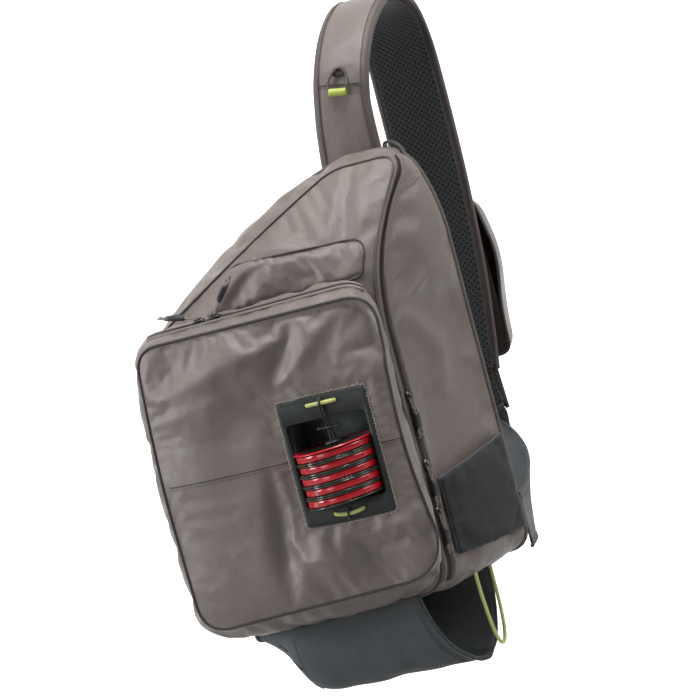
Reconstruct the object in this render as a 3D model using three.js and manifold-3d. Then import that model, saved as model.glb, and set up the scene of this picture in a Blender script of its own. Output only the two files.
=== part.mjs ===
// Sling bag with a front pocket, a spool dock, a bottle sleeve and one padded strap.
// Millimetres, +Z up. The bag's front looks along -Y and the wearer stands at +Y.
// The drawing frame starts at the lower left corner of the back panel; the group is moved
// at the end so that the inside top of the strap is the origin.

import * as THREE from 'three';
import { mergeVertices } from 'three/addons/utils/BufferGeometryUtils.js';
import Module from 'manifold-3d';

const wasm = await Module();
wasm.setup();

// General sizes
const CLOTH = 2;
const GAP = 0.3;
const SEAM = 3.2;

// Body
const BODY_WIDTH = 290;
const BODY_HEIGHT = 390;
const BODY_DEPTH = 100;
const BODY_PUFF = 4;
const BACK_PAD = 10;
const BACK_PAD_SLOPE = 5;
const BACK_CLEARANCE = 1.4;
const ZIP_BAND = 12;

// Front pocket
const POCKET_WIDTH = 226;
const POCKET_HEIGHT = 252;
const POCKET_DEPTH = 55;
const POCKET_LEFT = 31;
const POCKET_BOTTOM = 25;
const POCKET_CROWN = 10;
const POCKET_PUFF = 4;
const POCKET_LIFT = 1.55;
const PIPING_RADIUS = 2;
const POCKET_ZIP_WIDTH = 9;
const ZIP_THICKNESS = 1.5;

// Upper pocket
const UPPER_CROWN = 9;
const UPPER_LIFT = 3.2;

// Spool dock
const WINDOW_WIDTH = 82;
const WINDOW_HEIGHT = 110;
const DOCK_INSET = 21;
const DOCK_DROP = 71;
const WINDOW_LEFT = POCKET_LEFT + POCKET_WIDTH - DOCK_INSET - WINDOW_WIDTH;
const WINDOW_TOP = POCKET_BOTTOM + POCKET_HEIGHT - DOCK_DROP;
const DOCK_RISE = 8;
const DOCK_MARGIN = 8;
const DOCK_BLEND = 24;
const FRAME_SIDE = 4.5;
const FRAME_TOP = 20;
const FRAME_BOTTOM = 16;
const FRAME_THICKNESS = 1.6;
const TRAY_WALL = 1.5;
const TRAY_DEPTH = 46;
const SPOOL_COUNT = 5;
const SPOOL_RADIUS = 34.5;
const SPOOL_HEIGHT = 9.4;
const SPOOL_PITCH = 9.8;
const SPOOL_BORE = 3.4;
const SPOOL_FLANGE = 1.3;
const SPOOL_GROOVE = 1.6;
const SPOOL_SET_BACK = 5;
const POST_RADIUS = 2.6;
const POST_BAR = 22;
const POST_BAR_THICKNESS = 3;
const POST_BAR_DROP = 9;
const TAB_LENGTH = 28;
const TAB_RADIUS = 1.7;

// Strap loop
const STRAP_WIDTH = 66;
const STRAP_COVER = 6;
const STRAP_PAD = 5;
const PAD_CLEARANCE = 0.6;
const STRAP_PAD_INSET = 5;
const LOOP_DEPTH = 180;
const HANG_AT = 0.437;
const LOOP_HEIGHT = 540;
const POUCH_WIDTH = 60;
const POUCH_HEIGHT = 154;
const POUCH_DEPTH = 42;
const POUCH_LEFT = 202;
const POUCH_BOTTOM = 168;
const POUCH_LIFT = 0.2;
const FLAP_LENGTH = 38;
const FLAP_THICKNESS = 3;
const WEBBING = 2;
const WING_WIDTH = 50;

// Bottle sleeve
const SLEEVE_LENGTH = 199;
const SLEEVE_WIDTH = 86;
const SLEEVE_DROP = 71;
const SLEEVE_LEFT = 46;
const SLEEVE_BACK = 12;
const SLEEVE_BULGE = 2.6;
const MOUTH_CUT_BACK = 34;
const MOUTH_REACH = 6;

// Fittings
const SLIDER_WIDTH = 7;
const SLIDER_LENGTH = 11;
const SLIDER_HEIGHT = 4.5;
const PULL_LENGTH = 25.5;
const PULL_WIDTH = 6;
const CORD_RADIUS = 1.7;
const GRIP_LENGTH = 16;
const GRIP_RADIUS = 3.6;
const GEAR_LOOP_WIDTH = 25;
const GEAR_LOOP_HEIGHT = 26;
const HAUL_WIDTH = 10;
const HAUL_RISE = 12;
const HAUL_LIFT = 1.9;
const ADJUSTER_WIDTH = 25;
const ADJUSTER_DROP = 26;
const ADJUSTER_OUT = 9;

// Body corners seen from the front, clockwise from the top right, as shares of the body's
// width and height; round is a share of the width. Each back corner has one front corner.
const BACK_CORNERS = [
  { across: 0.935, up: 1.0, round: 0.1 },
  { across: 1.0, up: 0.85, round: 0.1 },
  { across: 1.0, up: 0.038, round: 0.07 },
  { across: 0.02, up: 0.018, round: 0.14 },
  { across: 0.06, up: 0.715, round: 0.06 },
  { across: 0.41, up: 0.925, round: 0.26 },
  { across: 0.73, up: 1.0, round: 0.05 },
];
const FRONT_CORNERS = [
  { across: 0.955, up: 0.985, round: 0.06 },
  { across: 0.84, up: 0.752, round: 0.2 },
  { across: 0.825, up: 0.02, round: 0.1 },
  { across: 0.045, up: 0.005, round: 0.14 },
  { across: 0.035, up: 0.675, round: 0.08 },
  { across: 0.53, up: 0.897, round: 0.17 },
  { across: 0.74, up: 0.985, round: 0.05 },
];

// How deep the body is at each height, as shares of its height and depth
const DEPTH_ROWS = [
  { up: 0.0, deep: 0.96 },
  { up: 0.1, deep: 1.0 },
  { up: 0.4, deep: 1.0 },
  { up: 0.7, deep: 1.0 },
  { up: 0.78, deep: 0.93 },
  { up: 0.85, deep: 0.79 },
  { up: 0.93, deep: 0.57 },
  { up: 1.0, deep: 0.33 },
];

// Swellings and folds of the body front: place and half sizes as shares of the body's width
// and height, turn in degrees, and rise as a share of its depth
const BODY_FOLDS = [
  { across: 0.62, up: 0.87, wide: 0.2, tall: 0.07, turn: -32, rise: 0.09 },
  { across: 0.42, up: 0.8, wide: 0.16, tall: 0.02, turn: -35, rise: 0.04 },
  { across: 0.78, up: 0.86, wide: 0.03, tall: 0.07, turn: 12, rise: -0.04 },
];

// Pocket corners, clockwise from the top left, as shares of the pocket's width and height
const FACE_CORNERS = [
  { across: 0.03, up: 1.0, round: 0.09 },
  { across: 1.015, up: 1.01, round: 0.12 },
  { across: 0.985, up: 0.5, round: 0.2 },
  { across: 1.035, up: 0.035, round: 0.2 },
  { across: 0.0, up: -0.01, round: 0.12 },
  { across: -0.01, up: 0.54, round: 0.2 },
];
const BASE_CORNERS = [
  { across: -0.05, up: 1.025, round: 0.12 },
  { across: 0.9, up: 1.065, round: 0.1 },
  { across: 0.905, up: 0.5, round: 0.2 },
  { across: 0.905, up: -0.062, round: 0.16 },
  { across: -0.075, up: -0.085, round: 0.16 },
  { across: -0.078, up: 0.54, round: 0.2 },
];

// Folds of the pocket face, same columns, as shares of the pocket's sizes
const FACE_FOLDS = [
  { across: 0.56, up: 0.82, wide: 0.32, tall: 0.05, turn: 52, rise: 0.11 },
  { across: 0.34, up: 0.68, wide: 0.28, tall: 0.07, turn: 40, rise: -0.09 },
  { across: 0.17, up: 0.78, wide: 0.26, tall: 0.06, turn: 68, rise: 0.07 },
  { across: 0.3, up: 0.2, wide: 0.3, tall: 0.08, turn: -18, rise: 0.07 },
  { across: 0.62, up: 0.1, wide: 0.2, tall: 0.05, turn: 30, rise: -0.07 },
];

// Upper pocket corners, clockwise from the top left, as shares of the body
const UPPER_CORNERS = [
  { across: 0.42, up: 0.84, round: 0.03 },
  { across: 0.85, up: 0.828, round: 0.05 },
  { across: 0.825, up: 0.772, round: 0.02 },
  { across: 0.21, up: 0.752, round: 0.03 },
];

// Route of the strap, from its sewn end behind the bag over the arch to its far end: across
// as a share of the body width, back and up as shares of the loop's depth and height, and
// wide as a share of the strap's width
const STRAP_ROWS = [
  { across: 0.741, back: 0.098, up: 0.615, wide: 0.848 },
  { across: 0.745, back: 0.098, up: 0.717, wide: 0.848 },
  { across: 0.759, back: 0.106, up: 0.809, wide: 0.758 },
  { across: 0.776, back: 0.15, up: 0.865, wide: 0.758 },
  { across: 0.795, back: 0.29, up: 0.922, wide: 0.788 },
  { across: 0.81, back: 0.5, up: 0.958, wide: 0.833 },
  { across: 0.815, back: 0.67, up: 0.962, wide: 0.894 },
  { across: 0.815, back: 0.845, up: 0.936, wide: 0.955 },
  { across: 0.807, back: 0.967, up: 0.874, wide: 0.985 },
  { across: 0.803, back: 0.996, up: 0.781, wide: 1 },
  { across: 0.797, back: 1.0, up: 0.633, wide: 1 },
  { across: 0.779, back: 1.0, up: 0.467, wide: 1 },
  { across: 0.755, back: 1.0, up: 0.356, wide: 1 },
  { across: 0.741, back: 1.0, up: 0.296, wide: 0.97 },
];

// Route of the webbing wing from the strap's end to the lower right of the back panel, same
// columns, wide as a share of the wing's width and turn in degrees from level to upright
const WING_ROWS = [
  { across: 0.729, back: 1.02, up: 0.213, turn: 0, wide: 0.72 },
  { across: 0.738, back: 1.015, up: 0.19, turn: 6, wide: 0.8 },
  { across: 0.79, back: 0.95, up: 0.15, turn: 26, wide: 0.94 },
  { across: 0.865, back: 0.76, up: 0.113, turn: 52, wide: 1.02 },
  { across: 0.935, back: 0.5, up: 0.084, turn: 74, wide: 1.02 },
  { across: 0.985, back: 0.25, up: 0.072, turn: 86, wide: 0.98 },
  { across: 1.006, back: 0.008, up: 0.07, turn: 90, wide: 0.96 },
];

// Hanging loop of elastic cord at the sleeve's mouth, drawing frame, points chosen by hand
const BOTTLE_CORD_POINTS = [
  [254, -60, 11.6],
  [254.2, -60, 2],
  [254.4, -60, -8],
  [255, -59.5, -20],
  [255.6, -58, -34],
  [256, -53, -48],
  [256.2, -45, -57],
  [256.2, -36, -58],
  [256, -28, -51],
  [255.6, -22, -38],
  [255.2, -19, -24],
  [255, -18, -10],
  [255, -18, 1],
  [255, -18, 9.9],
];

// How far each section of the bottle sleeve hangs down, along its length, as shares
const SLEEVE_ROWS = [
  { along: 0.0, drop: 0.16 },
  { along: 0.06, drop: 0.3 },
  { along: 0.12, drop: 0.5 },
  { along: 0.15, drop: 0.68 },
  { along: 0.19, drop: 0.88 },
  { along: 0.26, drop: 0.98 },
  { along: 0.4, drop: 1.0 },
  { along: 0.6, drop: 0.99 },
  { along: 0.8, drop: 1.0 },
  { along: 1.0, drop: 0.985 },
];

// Colours
const finishes = {
  nylon: { color: 0x7f7671, roughness: 0.6 },
  charcoal: { color: 0x44494c, roughness: 0.85 },
  mesh: { color: 0x17181a, roughness: 0.95 },
  hypalon: { color: 0x2e3536, roughness: 0.6 },
  zip: { color: 0x35312f, roughness: 0.7 },
  metal: { color: 0x2b2b2d, roughness: 0.35, metalness: 0.8 },
  plastic: { color: 0x232427, roughness: 0.45 },
  lime: { color: 0xc3cf85, roughness: 0.7 },
  spool: { color: 0xc81c2c, roughness: 0.45 },
};
const materials = {};
for (const [name, finish] of Object.entries(finishes)) {
  materials[name] = new THREE.MeshStandardMaterial(finish);
}

const bag = new THREE.Group();

function addPiece(name, geometry, finish) {
  const mesh = new THREE.Mesh(geometry, materials[finish]);
  mesh.name = name;
  bag.add(mesh);
}

// Closed surfaces

function closedGeometry(points, triangles) {
  let volume = 0;
  for (const [a, b, c] of triangles) {
    volume += points[a].dot(points[b].clone().cross(points[c]));
  }
  const faces = volume < 0 ? triangles.map(([a, b, c]) => [a, c, b]) : triangles;
  const geometry = new THREE.BufferGeometry();
  const positions = points.flatMap((point) => point.toArray());
  geometry.setAttribute('position', new THREE.Float32BufferAttribute(positions, 3));
  geometry.setIndex(faces.flat());
  geometry.computeVertexNormals();
  return geometry;
}

// Skin between rings of equal length, capped at both ends or closed on itself
function loft(rings, closed = false) {
  const count = rings[0].length;
  const points = rings.flat();
  const triangles = [];
  const last = closed ? rings.length : rings.length - 1;
  for (let i = 0; i < last; i++) {
    const here = i * count;
    const next = ((i + 1) % rings.length) * count;
    for (let j = 0; j < count; j++) {
      const k = (j + 1) % count;
      triangles.push([here + j, next + j, next + k], [here + j, next + k, here + k]);
    }
  }
  if (!closed) {
    const end = (rings.length - 1) * count;
    for (let j = 1; j < count - 1; j++) {
      triangles.push([0, j, j + 1], [end, end + j + 1, end + j]);
    }
  }
  return closedGeometry(points, triangles);
}

// Sheet of cloth along surface(u, v) with its outer face at lift and its inner face below.
// A loop closes in u; a pole shrinks the last v to one point.
function sheet(surface, us, vs, options = {}) {
  const { thickness = CLOTH, lift = 0, side = 1, loop = false, pole = false } = options;
  const reach = 0.5;
  const small = 0.01;
  const normalAt = (u, v) => {
    const du = surface(u + reach, v).sub(surface(u - reach, v));
    const dv = surface(u, v + small).sub(surface(u, v - small));
    return du.cross(dv).normalize().multiplyScalar(side);
  };
  const columns = pole ? vs.slice(0, -1) : vs;
  const points = [];
  for (const height of [lift, lift - thickness]) {
    for (const u of us) {
      for (const v of columns) {
        points.push(surface(u, v).addScaledVector(normalAt(u, v), height));
      }
    }
  }
  const wide = columns.length;
  const half = us.length * wide;
  const triangles = [];
  const addQuad = (a, b, c, d) => triangles.push([a, b, c], [a, c, d]);
  const rows = loop ? us.length : us.length - 1;
  for (let i = 0; i < rows; i++) {
    const here = i * wide;
    const next = ((i + 1) % us.length) * wide;
    for (let j = 0; j < wide - 1; j++) {
      addQuad(here + j, next + j, next + j + 1, here + j + 1);
      addQuad(half + here + j, half + here + j + 1, half + next + j + 1, half + next + j);
    }
    addQuad(here, half + here, half + next, next);
    if (!pole) {
      const edge = wide - 1;
      addQuad(here + edge, next + edge, half + next + edge, half + here + edge);
    }
  }
  if (!loop) {
    const end = (us.length - 1) * wide;
    for (let j = 0; j < wide - 1; j++) {
      addQuad(j, j + 1, half + j + 1, half + j);
      addQuad(end + j, half + end + j, half + end + j + 1, end + j + 1);
    }
  }
  if (pole) {
    const centre = surface(us[0], vs[vs.length - 1]);
    const normal = new THREE.Vector3();
    for (const u of us) {
      normal.add(normalAt(u, columns[wide - 1]));
    }
    normal.normalize();
    points.push(centre.clone().addScaledVector(normal, lift));
    points.push(centre.clone().addScaledVector(normal, lift - thickness));
    for (let i = 0; i < us.length; i++) {
      const here = i * wide + wide - 1;
      const next = ((i + 1) % us.length) * wide + wide - 1;
      triangles.push([here, next, half * 2], [half + here, half * 2 + 1, half + next]);
    }
  }
  return closedGeometry(points, triangles);
}

// Round tube through points
function tube(points, radius, sides, closed = false, level = new THREE.Vector3(0, 1, 0)) {
  const rings = points.map((point, i) => {
    const before = points[closed ? (i + points.length - 1) % points.length : Math.max(i - 1, 0)];
    const after = points[closed ? (i + 1) % points.length : Math.min(i + 1, points.length - 1)];
    const along = after.clone().sub(before).normalize();
    const out = along.clone().cross(level).normalize();
    const up = out.clone().cross(along);
    const ring = [];
    for (let k = 0; k < sides; k++) {
      const angle = (k / sides) * 2 * Math.PI;
      const spoke = out.clone().multiplyScalar(Math.cos(angle));
      spoke.addScaledVector(up, Math.sin(angle));
      ring.push(point.clone().addScaledVector(spoke, radius));
    }
    return ring;
  });
  return loft(rings, closed);
}

// Flat strip: each station has a point, a direction across, a width and an inward direction
function strip(stations, low, high, edge = 0.5) {
  const rings = stations.map(({ point, across, inward, width }) => {
    const corner = (share, depth) => {
      const placed = point.clone().addScaledVector(across, (share * width) / 2);
      return placed.addScaledVector(inward, depth);
    };
    const rim = Math.min(0.97, 1 - (2 * edge) / width);
    const middle = (low + high) / 2;
    return [
      corner(-rim, low),
      corner(rim, low),
      corner(1, middle),
      corner(rim, high),
      corner(-rim, high),
      corner(-1, middle),
    ];
  });
  return loft(rings);
}

function asSolid(source) {
  const bare = new THREE.BufferGeometry();
  bare.setAttribute('position', source.getAttribute('position'));
  bare.setIndex(source.getIndex());
  const merged = mergeVertices(bare);
  const vertProperties = new Float32Array(merged.getAttribute('position').array);
  const triVerts = new Uint32Array(merged.getIndex().array);
  return new wasm.Manifold(new wasm.Mesh({ numProp: 3, vertProperties, triVerts }));
}

function asGeometry(solid) {
  const mesh = solid.getMesh();
  const geometry = new THREE.BufferGeometry();
  geometry.setAttribute('position', new THREE.BufferAttribute(mesh.vertProperties, 3));
  geometry.setIndex(new THREE.BufferAttribute(mesh.triVerts, 1));
  geometry.computeVertexNormals();
  return geometry;
}

const cut = (geometry, tool) => asGeometry(asSolid(geometry).subtract(asSolid(tool)));
const joined = (first, second) => asGeometry(asSolid(first).add(asSolid(second)));

// Outlines and height fields

const STEPS_ROUND = 4;
const STEPS_STRAIGHT = 3;
const STEPS_CORNER = STEPS_ROUND + STEPS_STRAIGHT;

// Closed outline in the XZ plane with every corner rounded by a curve
function outline(rows, width, height, left = 0, bottom = 0) {
  const place = (row) => new THREE.Vector2(left + row.across * width, bottom + row.up * height);
  const corners = rows.map(place);
  const arcs = corners.map((corner, i) => {
    const toPrevious = corners[(i + corners.length - 1) % corners.length].clone().sub(corner);
    const toNext = corners[(i + 1) % corners.length].clone().sub(corner);
    const round = rows[i].round * width;
    return {
      start: corner.clone().addScaledVector(toPrevious.normalize(), round),
      corner,
      end: corner.clone().addScaledVector(toNext.normalize(), round),
    };
  });
  const points = [];
  arcs.forEach((arc, i) => {
    const curve = new THREE.QuadraticBezierCurve(arc.start, arc.corner, arc.end);
    points.push(...curve.getPoints(STEPS_ROUND));
    const next = arcs[(i + 1) % arcs.length].start;
    for (let k = 1; k < STEPS_STRAIGHT; k++) {
      points.push(arc.end.clone().lerp(next, k / STEPS_STRAIGHT));
    }
  });
  return points;
}

function pointOn(points, u) {
  const count = points.length;
  const low = Math.floor(u);
  const from = points[((low % count) + count) % count];
  const to = points[(((low + 1) % count) + count) % count];
  return from.clone().lerp(to, u - low);
}

const OUTWARD_REACH = 0.7;
function outwardOn(points, u) {
  const ahead = pointOn(points, u + OUTWARD_REACH);
  const along = ahead.sub(pointOn(points, u - OUTWARD_REACH)).normalize();
  return new THREE.Vector2(-along.y, along.x);
}

// Smooth curve through the rows of a table
function smooth(rows, key, value, at) {
  let i = 0;
  while (i < rows.length - 2 && at > rows[i + 1][key]) {
    i += 1;
  }
  const slope = (k) => {
    const low = rows[Math.max(k - 1, 0)];
    const high = rows[Math.min(k + 1, rows.length - 1)];
    return (high[value] - low[value]) / (high[key] - low[key]);
  };
  const span = rows[i + 1][key] - rows[i][key];
  const t = Math.min(Math.max((at - rows[i][key]) / span, 0), 1);
  const lead = (1 + 2 * t) * (1 - t) ** 2 * rows[i][value] + t * (1 - t) ** 2 * span * slope(i);
  const tail = t * t * (3 - 2 * t) * rows[i + 1][value] + t * t * (t - 1) * span * slope(i + 1);
  return lead + tail;
}

// Rise of a table's folds at one place of a panel, as a share of the panel's depth
function foldRise(rows, x, z, width, height, left = 0, bottom = 0) {
  let rise = 0;
  for (const row of rows) {
    const turn = THREE.MathUtils.degToRad(row.turn);
    const dx = x - left - row.across * width;
    const dz = z - bottom - row.up * height;
    const along = (dx * Math.cos(turn) - dz * Math.sin(turn)) / (row.wide * width);
    const aside = (dx * Math.sin(turn) + dz * Math.cos(turn)) / (row.tall * height);
    rise += row.rise * Math.exp(-along * along - aside * aside);
  }
  return rise;
}

function steps(from, to, count) {
  return Array.from({ length: count + 1 }, (_, i) => from + ((to - from) * i) / count);
}

// Body

const backOutline = outline(BACK_CORNERS, BODY_WIDTH, BODY_HEIGHT);
const frontOutline = outline(FRONT_CORNERS, BODY_WIDTH, BODY_HEIGHT);
const LOWER_RIGHT = 2 * STEPS_CORNER + STEPS_ROUND / 2;
const TOP_RIGHT = STEPS_ROUND / 2;
const END_CUT = 0.05;

const bodyFrontY = (x, z) => {
  const deep = smooth(DEPTH_ROWS, 'up', 'deep', z / BODY_HEIGHT);
  return -BODY_DEPTH * (deep + foldRise(BODY_FOLDS, x, z, BODY_WIDTH, BODY_HEIGHT));
};

// The band round the body: v runs from the back panel to the front seam
function bandPoint(u, v) {
  const back = pointOn(backOutline, u);
  const front = pointOn(frontOutline, u);
  const place = back.lerp(front, v);
  place.addScaledVector(outwardOn(frontOutline, u), BODY_PUFF * Math.sin(Math.PI * v));
  return new THREE.Vector3(place.x, bodyFrontY(front.x, front.y) * v, place.y);
}

function bandShare(u, fromFront) {
  return 1 - fromFront / bandPoint(u, 1).distanceTo(bandPoint(u, 0));
}

// A stretch of the band between two distances from the front seam; behind is null at the back
function bandSheet(us, ahead, behind, count, options = {}) {
  const surface = (u, t) => {
    const far = behind === null ? BACK_CLEARANCE / BODY_DEPTH : bandShare(u, behind);
    return bandPoint(u, far + (bandShare(u, ahead) - far) * t);
  };
  return sheet(surface, us, steps(0, 1, count), { side: -1, ...options });
}

function wholeSteps(from, to) {
  const inner = [];
  for (let u = Math.ceil(from + END_CUT); u < to; u++) {
    inner.push(u);
  }
  return [from + END_CUT, ...inner, to - END_CUT];
}

const outlineCount = backOutline.length;
const rightSteps = wholeSteps(TOP_RIGHT, LOWER_RIGHT);
const leftSteps = wholeSteps(LOWER_RIGHT, outlineCount + TOP_RIGHT);
addPiece('left_gusset', bandSheet(leftSteps, SEAM, null, 3), 'nylon');
addPiece('side_panel', bandSheet(rightSteps, SEAM + ZIP_BAND + GAP, null, 3), 'nylon');
addPiece('main_zip', bandSheet(rightSteps, SEAM, SEAM + ZIP_BAND, 2), 'zip');

const loopSteps = (points) => steps(0, points.length - 1, points.length - 1);
const middleOf = (points) => {
  const sum = points.reduce((total, point) => total.add(point), new THREE.Vector2());
  return sum.divideScalar(points.length);
};

// Skin inside an outline, from its rim at share 1 to its middle at share 0
function filledOutline(points, heightAt) {
  const middle = middleOf(points);
  return (u, share) => {
    const place = middle.clone().lerp(pointOn(points, u), share);
    return new THREE.Vector3(place.x, heightAt(place.x, place.y, share), place.y);
  };
}

const frontPanel = sheet(
  filledOutline(frontOutline, bodyFrontY),
  loopSteps(frontOutline),
  [1, 0.9, 0.76, 0.6, 0.42, 0.2, 0],
  { side: 1, loop: true, pole: true },
);
addPiece('front_panel', frontPanel, 'nylon');

// Padded back panel behind the band's rim, flat over its middle
const PAD_FLAT = 0.86;
const padY = (x, z, share) => {
  const slope = Math.max(share - PAD_FLAT, 0) / (1 - PAD_FLAT);
  return BACK_PAD - BACK_PAD_SLOPE * slope * slope;
};
function backPanel() {
  const surface = filledOutline(backOutline, padY);
  const shares = [1, 0.95, PAD_FLAT];
  const rings = shares.map((share) => loopSteps(backOutline).map((u) => surface(u, share)));
  const inner = rings.map((ring) => ring.map((point) => new THREE.Vector3(point.x, GAP, point.z)));
  return loft([...inner.reverse(), ...rings]);
}
addPiece('back_panel', backPanel(), 'mesh');

// Upper pocket, a low pouch sewn on the body front
const EDGE_POWER = 4;
const crownShare = (share) => Math.sqrt(Math.max(1 - share ** EDGE_POWER, 0));
const upperOutline = outline(UPPER_CORNERS, BODY_WIDTH, BODY_HEIGHT);
const upperY = (x, z, share) => {
  return bodyFrontY(x, z) - UPPER_LIFT - UPPER_CROWN * crownShare(share);
};
const upperPocket = sheet(
  filledOutline(upperOutline, upperY),
  loopSteps(upperOutline),
  [1, 0.97, 0.88, 0.7, 0.4, 0],
  { side: 1, loop: true, pole: true, thickness: CLOTH },
);
addPiece('upper_pocket', upperPocket, 'nylon');

// Front pocket

const faceOutline = outline(FACE_CORNERS, POCKET_WIDTH, POCKET_HEIGHT, POCKET_LEFT, POCKET_BOTTOM);
const baseOutline = outline(BASE_CORNERS, POCKET_WIDTH, POCKET_HEIGHT, POCKET_LEFT, POCKET_BOTTOM);
const FACE_Y = -BODY_DEPTH - POCKET_DEPTH;
const DOCK_Y = FACE_Y - DOCK_RISE;
const CROWN_POWER = 3;
const windowRight = WINDOW_LEFT + WINDOW_WIDTH;
const windowBottom = WINDOW_TOP - WINDOW_HEIGHT;
const windowX = (WINDOW_LEFT + windowRight) / 2;
const windowZ = (WINDOW_TOP + windowBottom) / 2;

function faceY(x, z) {
  const aside = Math.abs((x - POCKET_LEFT) / POCKET_WIDTH - 0.5) * 2;
  const above = Math.abs((z - POCKET_BOTTOM) / POCKET_HEIGHT - 0.5) * 2;
  const fade = (1 - Math.min(aside, 1) ** CROWN_POWER) * (1 - Math.min(above, 1) ** CROWN_POWER);
  const folds = foldRise(FACE_FOLDS, x, z, POCKET_WIDTH, POCKET_HEIGHT, POCKET_LEFT, POCKET_BOTTOM);
  const crowned = FACE_Y - (POCKET_CROWN + folds * POCKET_DEPTH) * fade;
  const besideX = Math.max(Math.abs(x - windowX) - WINDOW_WIDTH / 2 - DOCK_MARGIN, 0);
  const besideZ = Math.max(Math.abs(z - windowZ) - WINDOW_HEIGHT / 2 - DOCK_MARGIN, 0);
  const away = THREE.MathUtils.smoothstep(Math.hypot(besideX, besideZ), 0, DOCK_BLEND);
  return THREE.MathUtils.lerp(DOCK_Y, crowned, away);
}

function pocketBandPoint(u, v) {
  const base = pointOn(baseOutline, u);
  const face = pointOn(faceOutline, u);
  const baseY = bodyFrontY(base.x, base.y) - POCKET_LIFT;
  const place = base.clone().lerp(face, v);
  place.addScaledVector(outwardOn(faceOutline, u), POCKET_PUFF * Math.sin(Math.PI * v));
  return new THREE.Vector3(place.x, baseY + (faceY(face.x, face.y) - baseY) * v, place.y);
}

const bandEnd = (u) => 1 - SEAM / pocketBandPoint(u, 1).distanceTo(pocketBandPoint(u, 0));
const pocketGusset = sheet(
  (u, t) => pocketBandPoint(u, t * bandEnd(u)),
  loopSteps(faceOutline),
  steps(0, 1, 3),
  { side: -1, loop: true },
);
addPiece('pocket_gusset', pocketGusset, 'nylon');

// Rounded rectangle prism along Y
function prism(left, right, bottom, top, near, far, corner) {
  const shape = new THREE.Shape();
  shape.moveTo(left + corner, bottom);
  shape.lineTo(right - corner, bottom);
  shape.quadraticCurveTo(right, bottom, right, bottom + corner);
  shape.lineTo(right, top - corner);
  shape.quadraticCurveTo(right, top, right - corner, top);
  shape.lineTo(left + corner, top);
  shape.quadraticCurveTo(left, top, left, top - corner);
  shape.lineTo(left, bottom + corner);
  shape.quadraticCurveTo(left, bottom, left + corner, bottom);
  const geometry = new THREE.ExtrudeGeometry(shape, {
    depth: far - near,
    bevelEnabled: false,
    curveSegments: 3,
  });
  geometry.rotateX(Math.PI / 2);
  geometry.translate(0, far, 0);
  const merged = geometry.clone();
  merged.deleteAttribute('normal');
  merged.deleteAttribute('uv');
  return mergeVertices(merged);
}

const trayLeft = WINDOW_LEFT + FRAME_SIDE;
const trayRight = windowRight - FRAME_SIDE;
const trayTop = WINDOW_TOP - FRAME_TOP;
const trayBottom = windowBottom + FRAME_BOTTOM;
const TOOL_REACH = 60;
const DOCK_CORNER = 2;

const trayHole = prism(
  trayLeft - TRAY_WALL - GAP,
  trayRight + TRAY_WALL + GAP,
  trayBottom - TRAY_WALL - GAP,
  trayTop + TRAY_WALL + GAP,
  DOCK_Y - TOOL_REACH,
  DOCK_Y + TOOL_REACH,
  DOCK_CORNER,
);
const faceSkin = sheet(
  filledOutline(faceOutline, faceY),
  loopSteps(faceOutline),
  [1, 0.96, 0.85, 0.68, 0.48, 0.26, 0],
  { side: 1, loop: true, pole: true },
);
addPiece('pocket_face', cut(faceSkin, trayHole), 'nylon');

// Frame of the window, laid on the pocket face, open over the tray
const frameSkin = sheet(
  (u, v) => {
    const x = WINDOW_LEFT + u * WINDOW_WIDTH;
    const z = windowBottom + v * WINDOW_HEIGHT;
    return new THREE.Vector3(x, faceY(x, z), z);
  },
  steps(0, 1, 1),
  steps(0, 1, 1),
  { side: 1, thickness: FRAME_THICKNESS, lift: FRAME_THICKNESS + GAP },
);
const frameHole = prism(
  trayLeft,
  trayRight,
  trayBottom,
  trayTop,
  DOCK_Y - TOOL_REACH,
  DOCK_Y + TOOL_REACH,
  DOCK_CORNER,
);
addPiece('window_frame', cut(frameSkin, frameHole), 'hypalon');

// Tray behind the frame, an open box
const trayFloor = DOCK_Y + TRAY_DEPTH;
const trayShell = prism(
  trayLeft - TRAY_WALL,
  trayRight + TRAY_WALL,
  trayBottom - TRAY_WALL,
  trayTop + TRAY_WALL,
  DOCK_Y,
  trayFloor,
  DOCK_CORNER,
);
const trayHollow = prism(
  trayLeft,
  trayRight,
  trayBottom,
  trayTop,
  DOCK_Y - TOOL_REACH,
  trayFloor - TRAY_WALL,
  DOCK_CORNER,
);
addPiece('tippet_tray', cut(trayShell, trayHollow), 'hypalon');

// Post with a small cross bar, standing between the tray's two ends
const spoolX = (trayLeft + trayRight) / 2;
const spoolY = DOCK_Y + SPOOL_SET_BACK;
function post() {
  const profile = [
    { radius: 0, up: trayBottom + GAP },
    { radius: POST_RADIUS, up: trayBottom + GAP },
    { radius: POST_RADIUS, up: trayTop - GAP },
    { radius: 0, up: trayTop - GAP },
  ].map((row) => new THREE.Vector2(row.radius, row.up));
  const rod = new THREE.LatheGeometry(profile, 8);
  rod.rotateX(Math.PI / 2);
  rod.translate(spoolX, spoolY, 0);
  return rod;
}
const bar = new THREE.BoxGeometry(POST_BAR, POST_BAR_THICKNESS, POST_BAR_THICKNESS);
bar.translate(spoolX, spoolY, trayTop - POST_BAR_DROP);
addPiece('tippet_post', joined(post(), bar), 'plastic');

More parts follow.
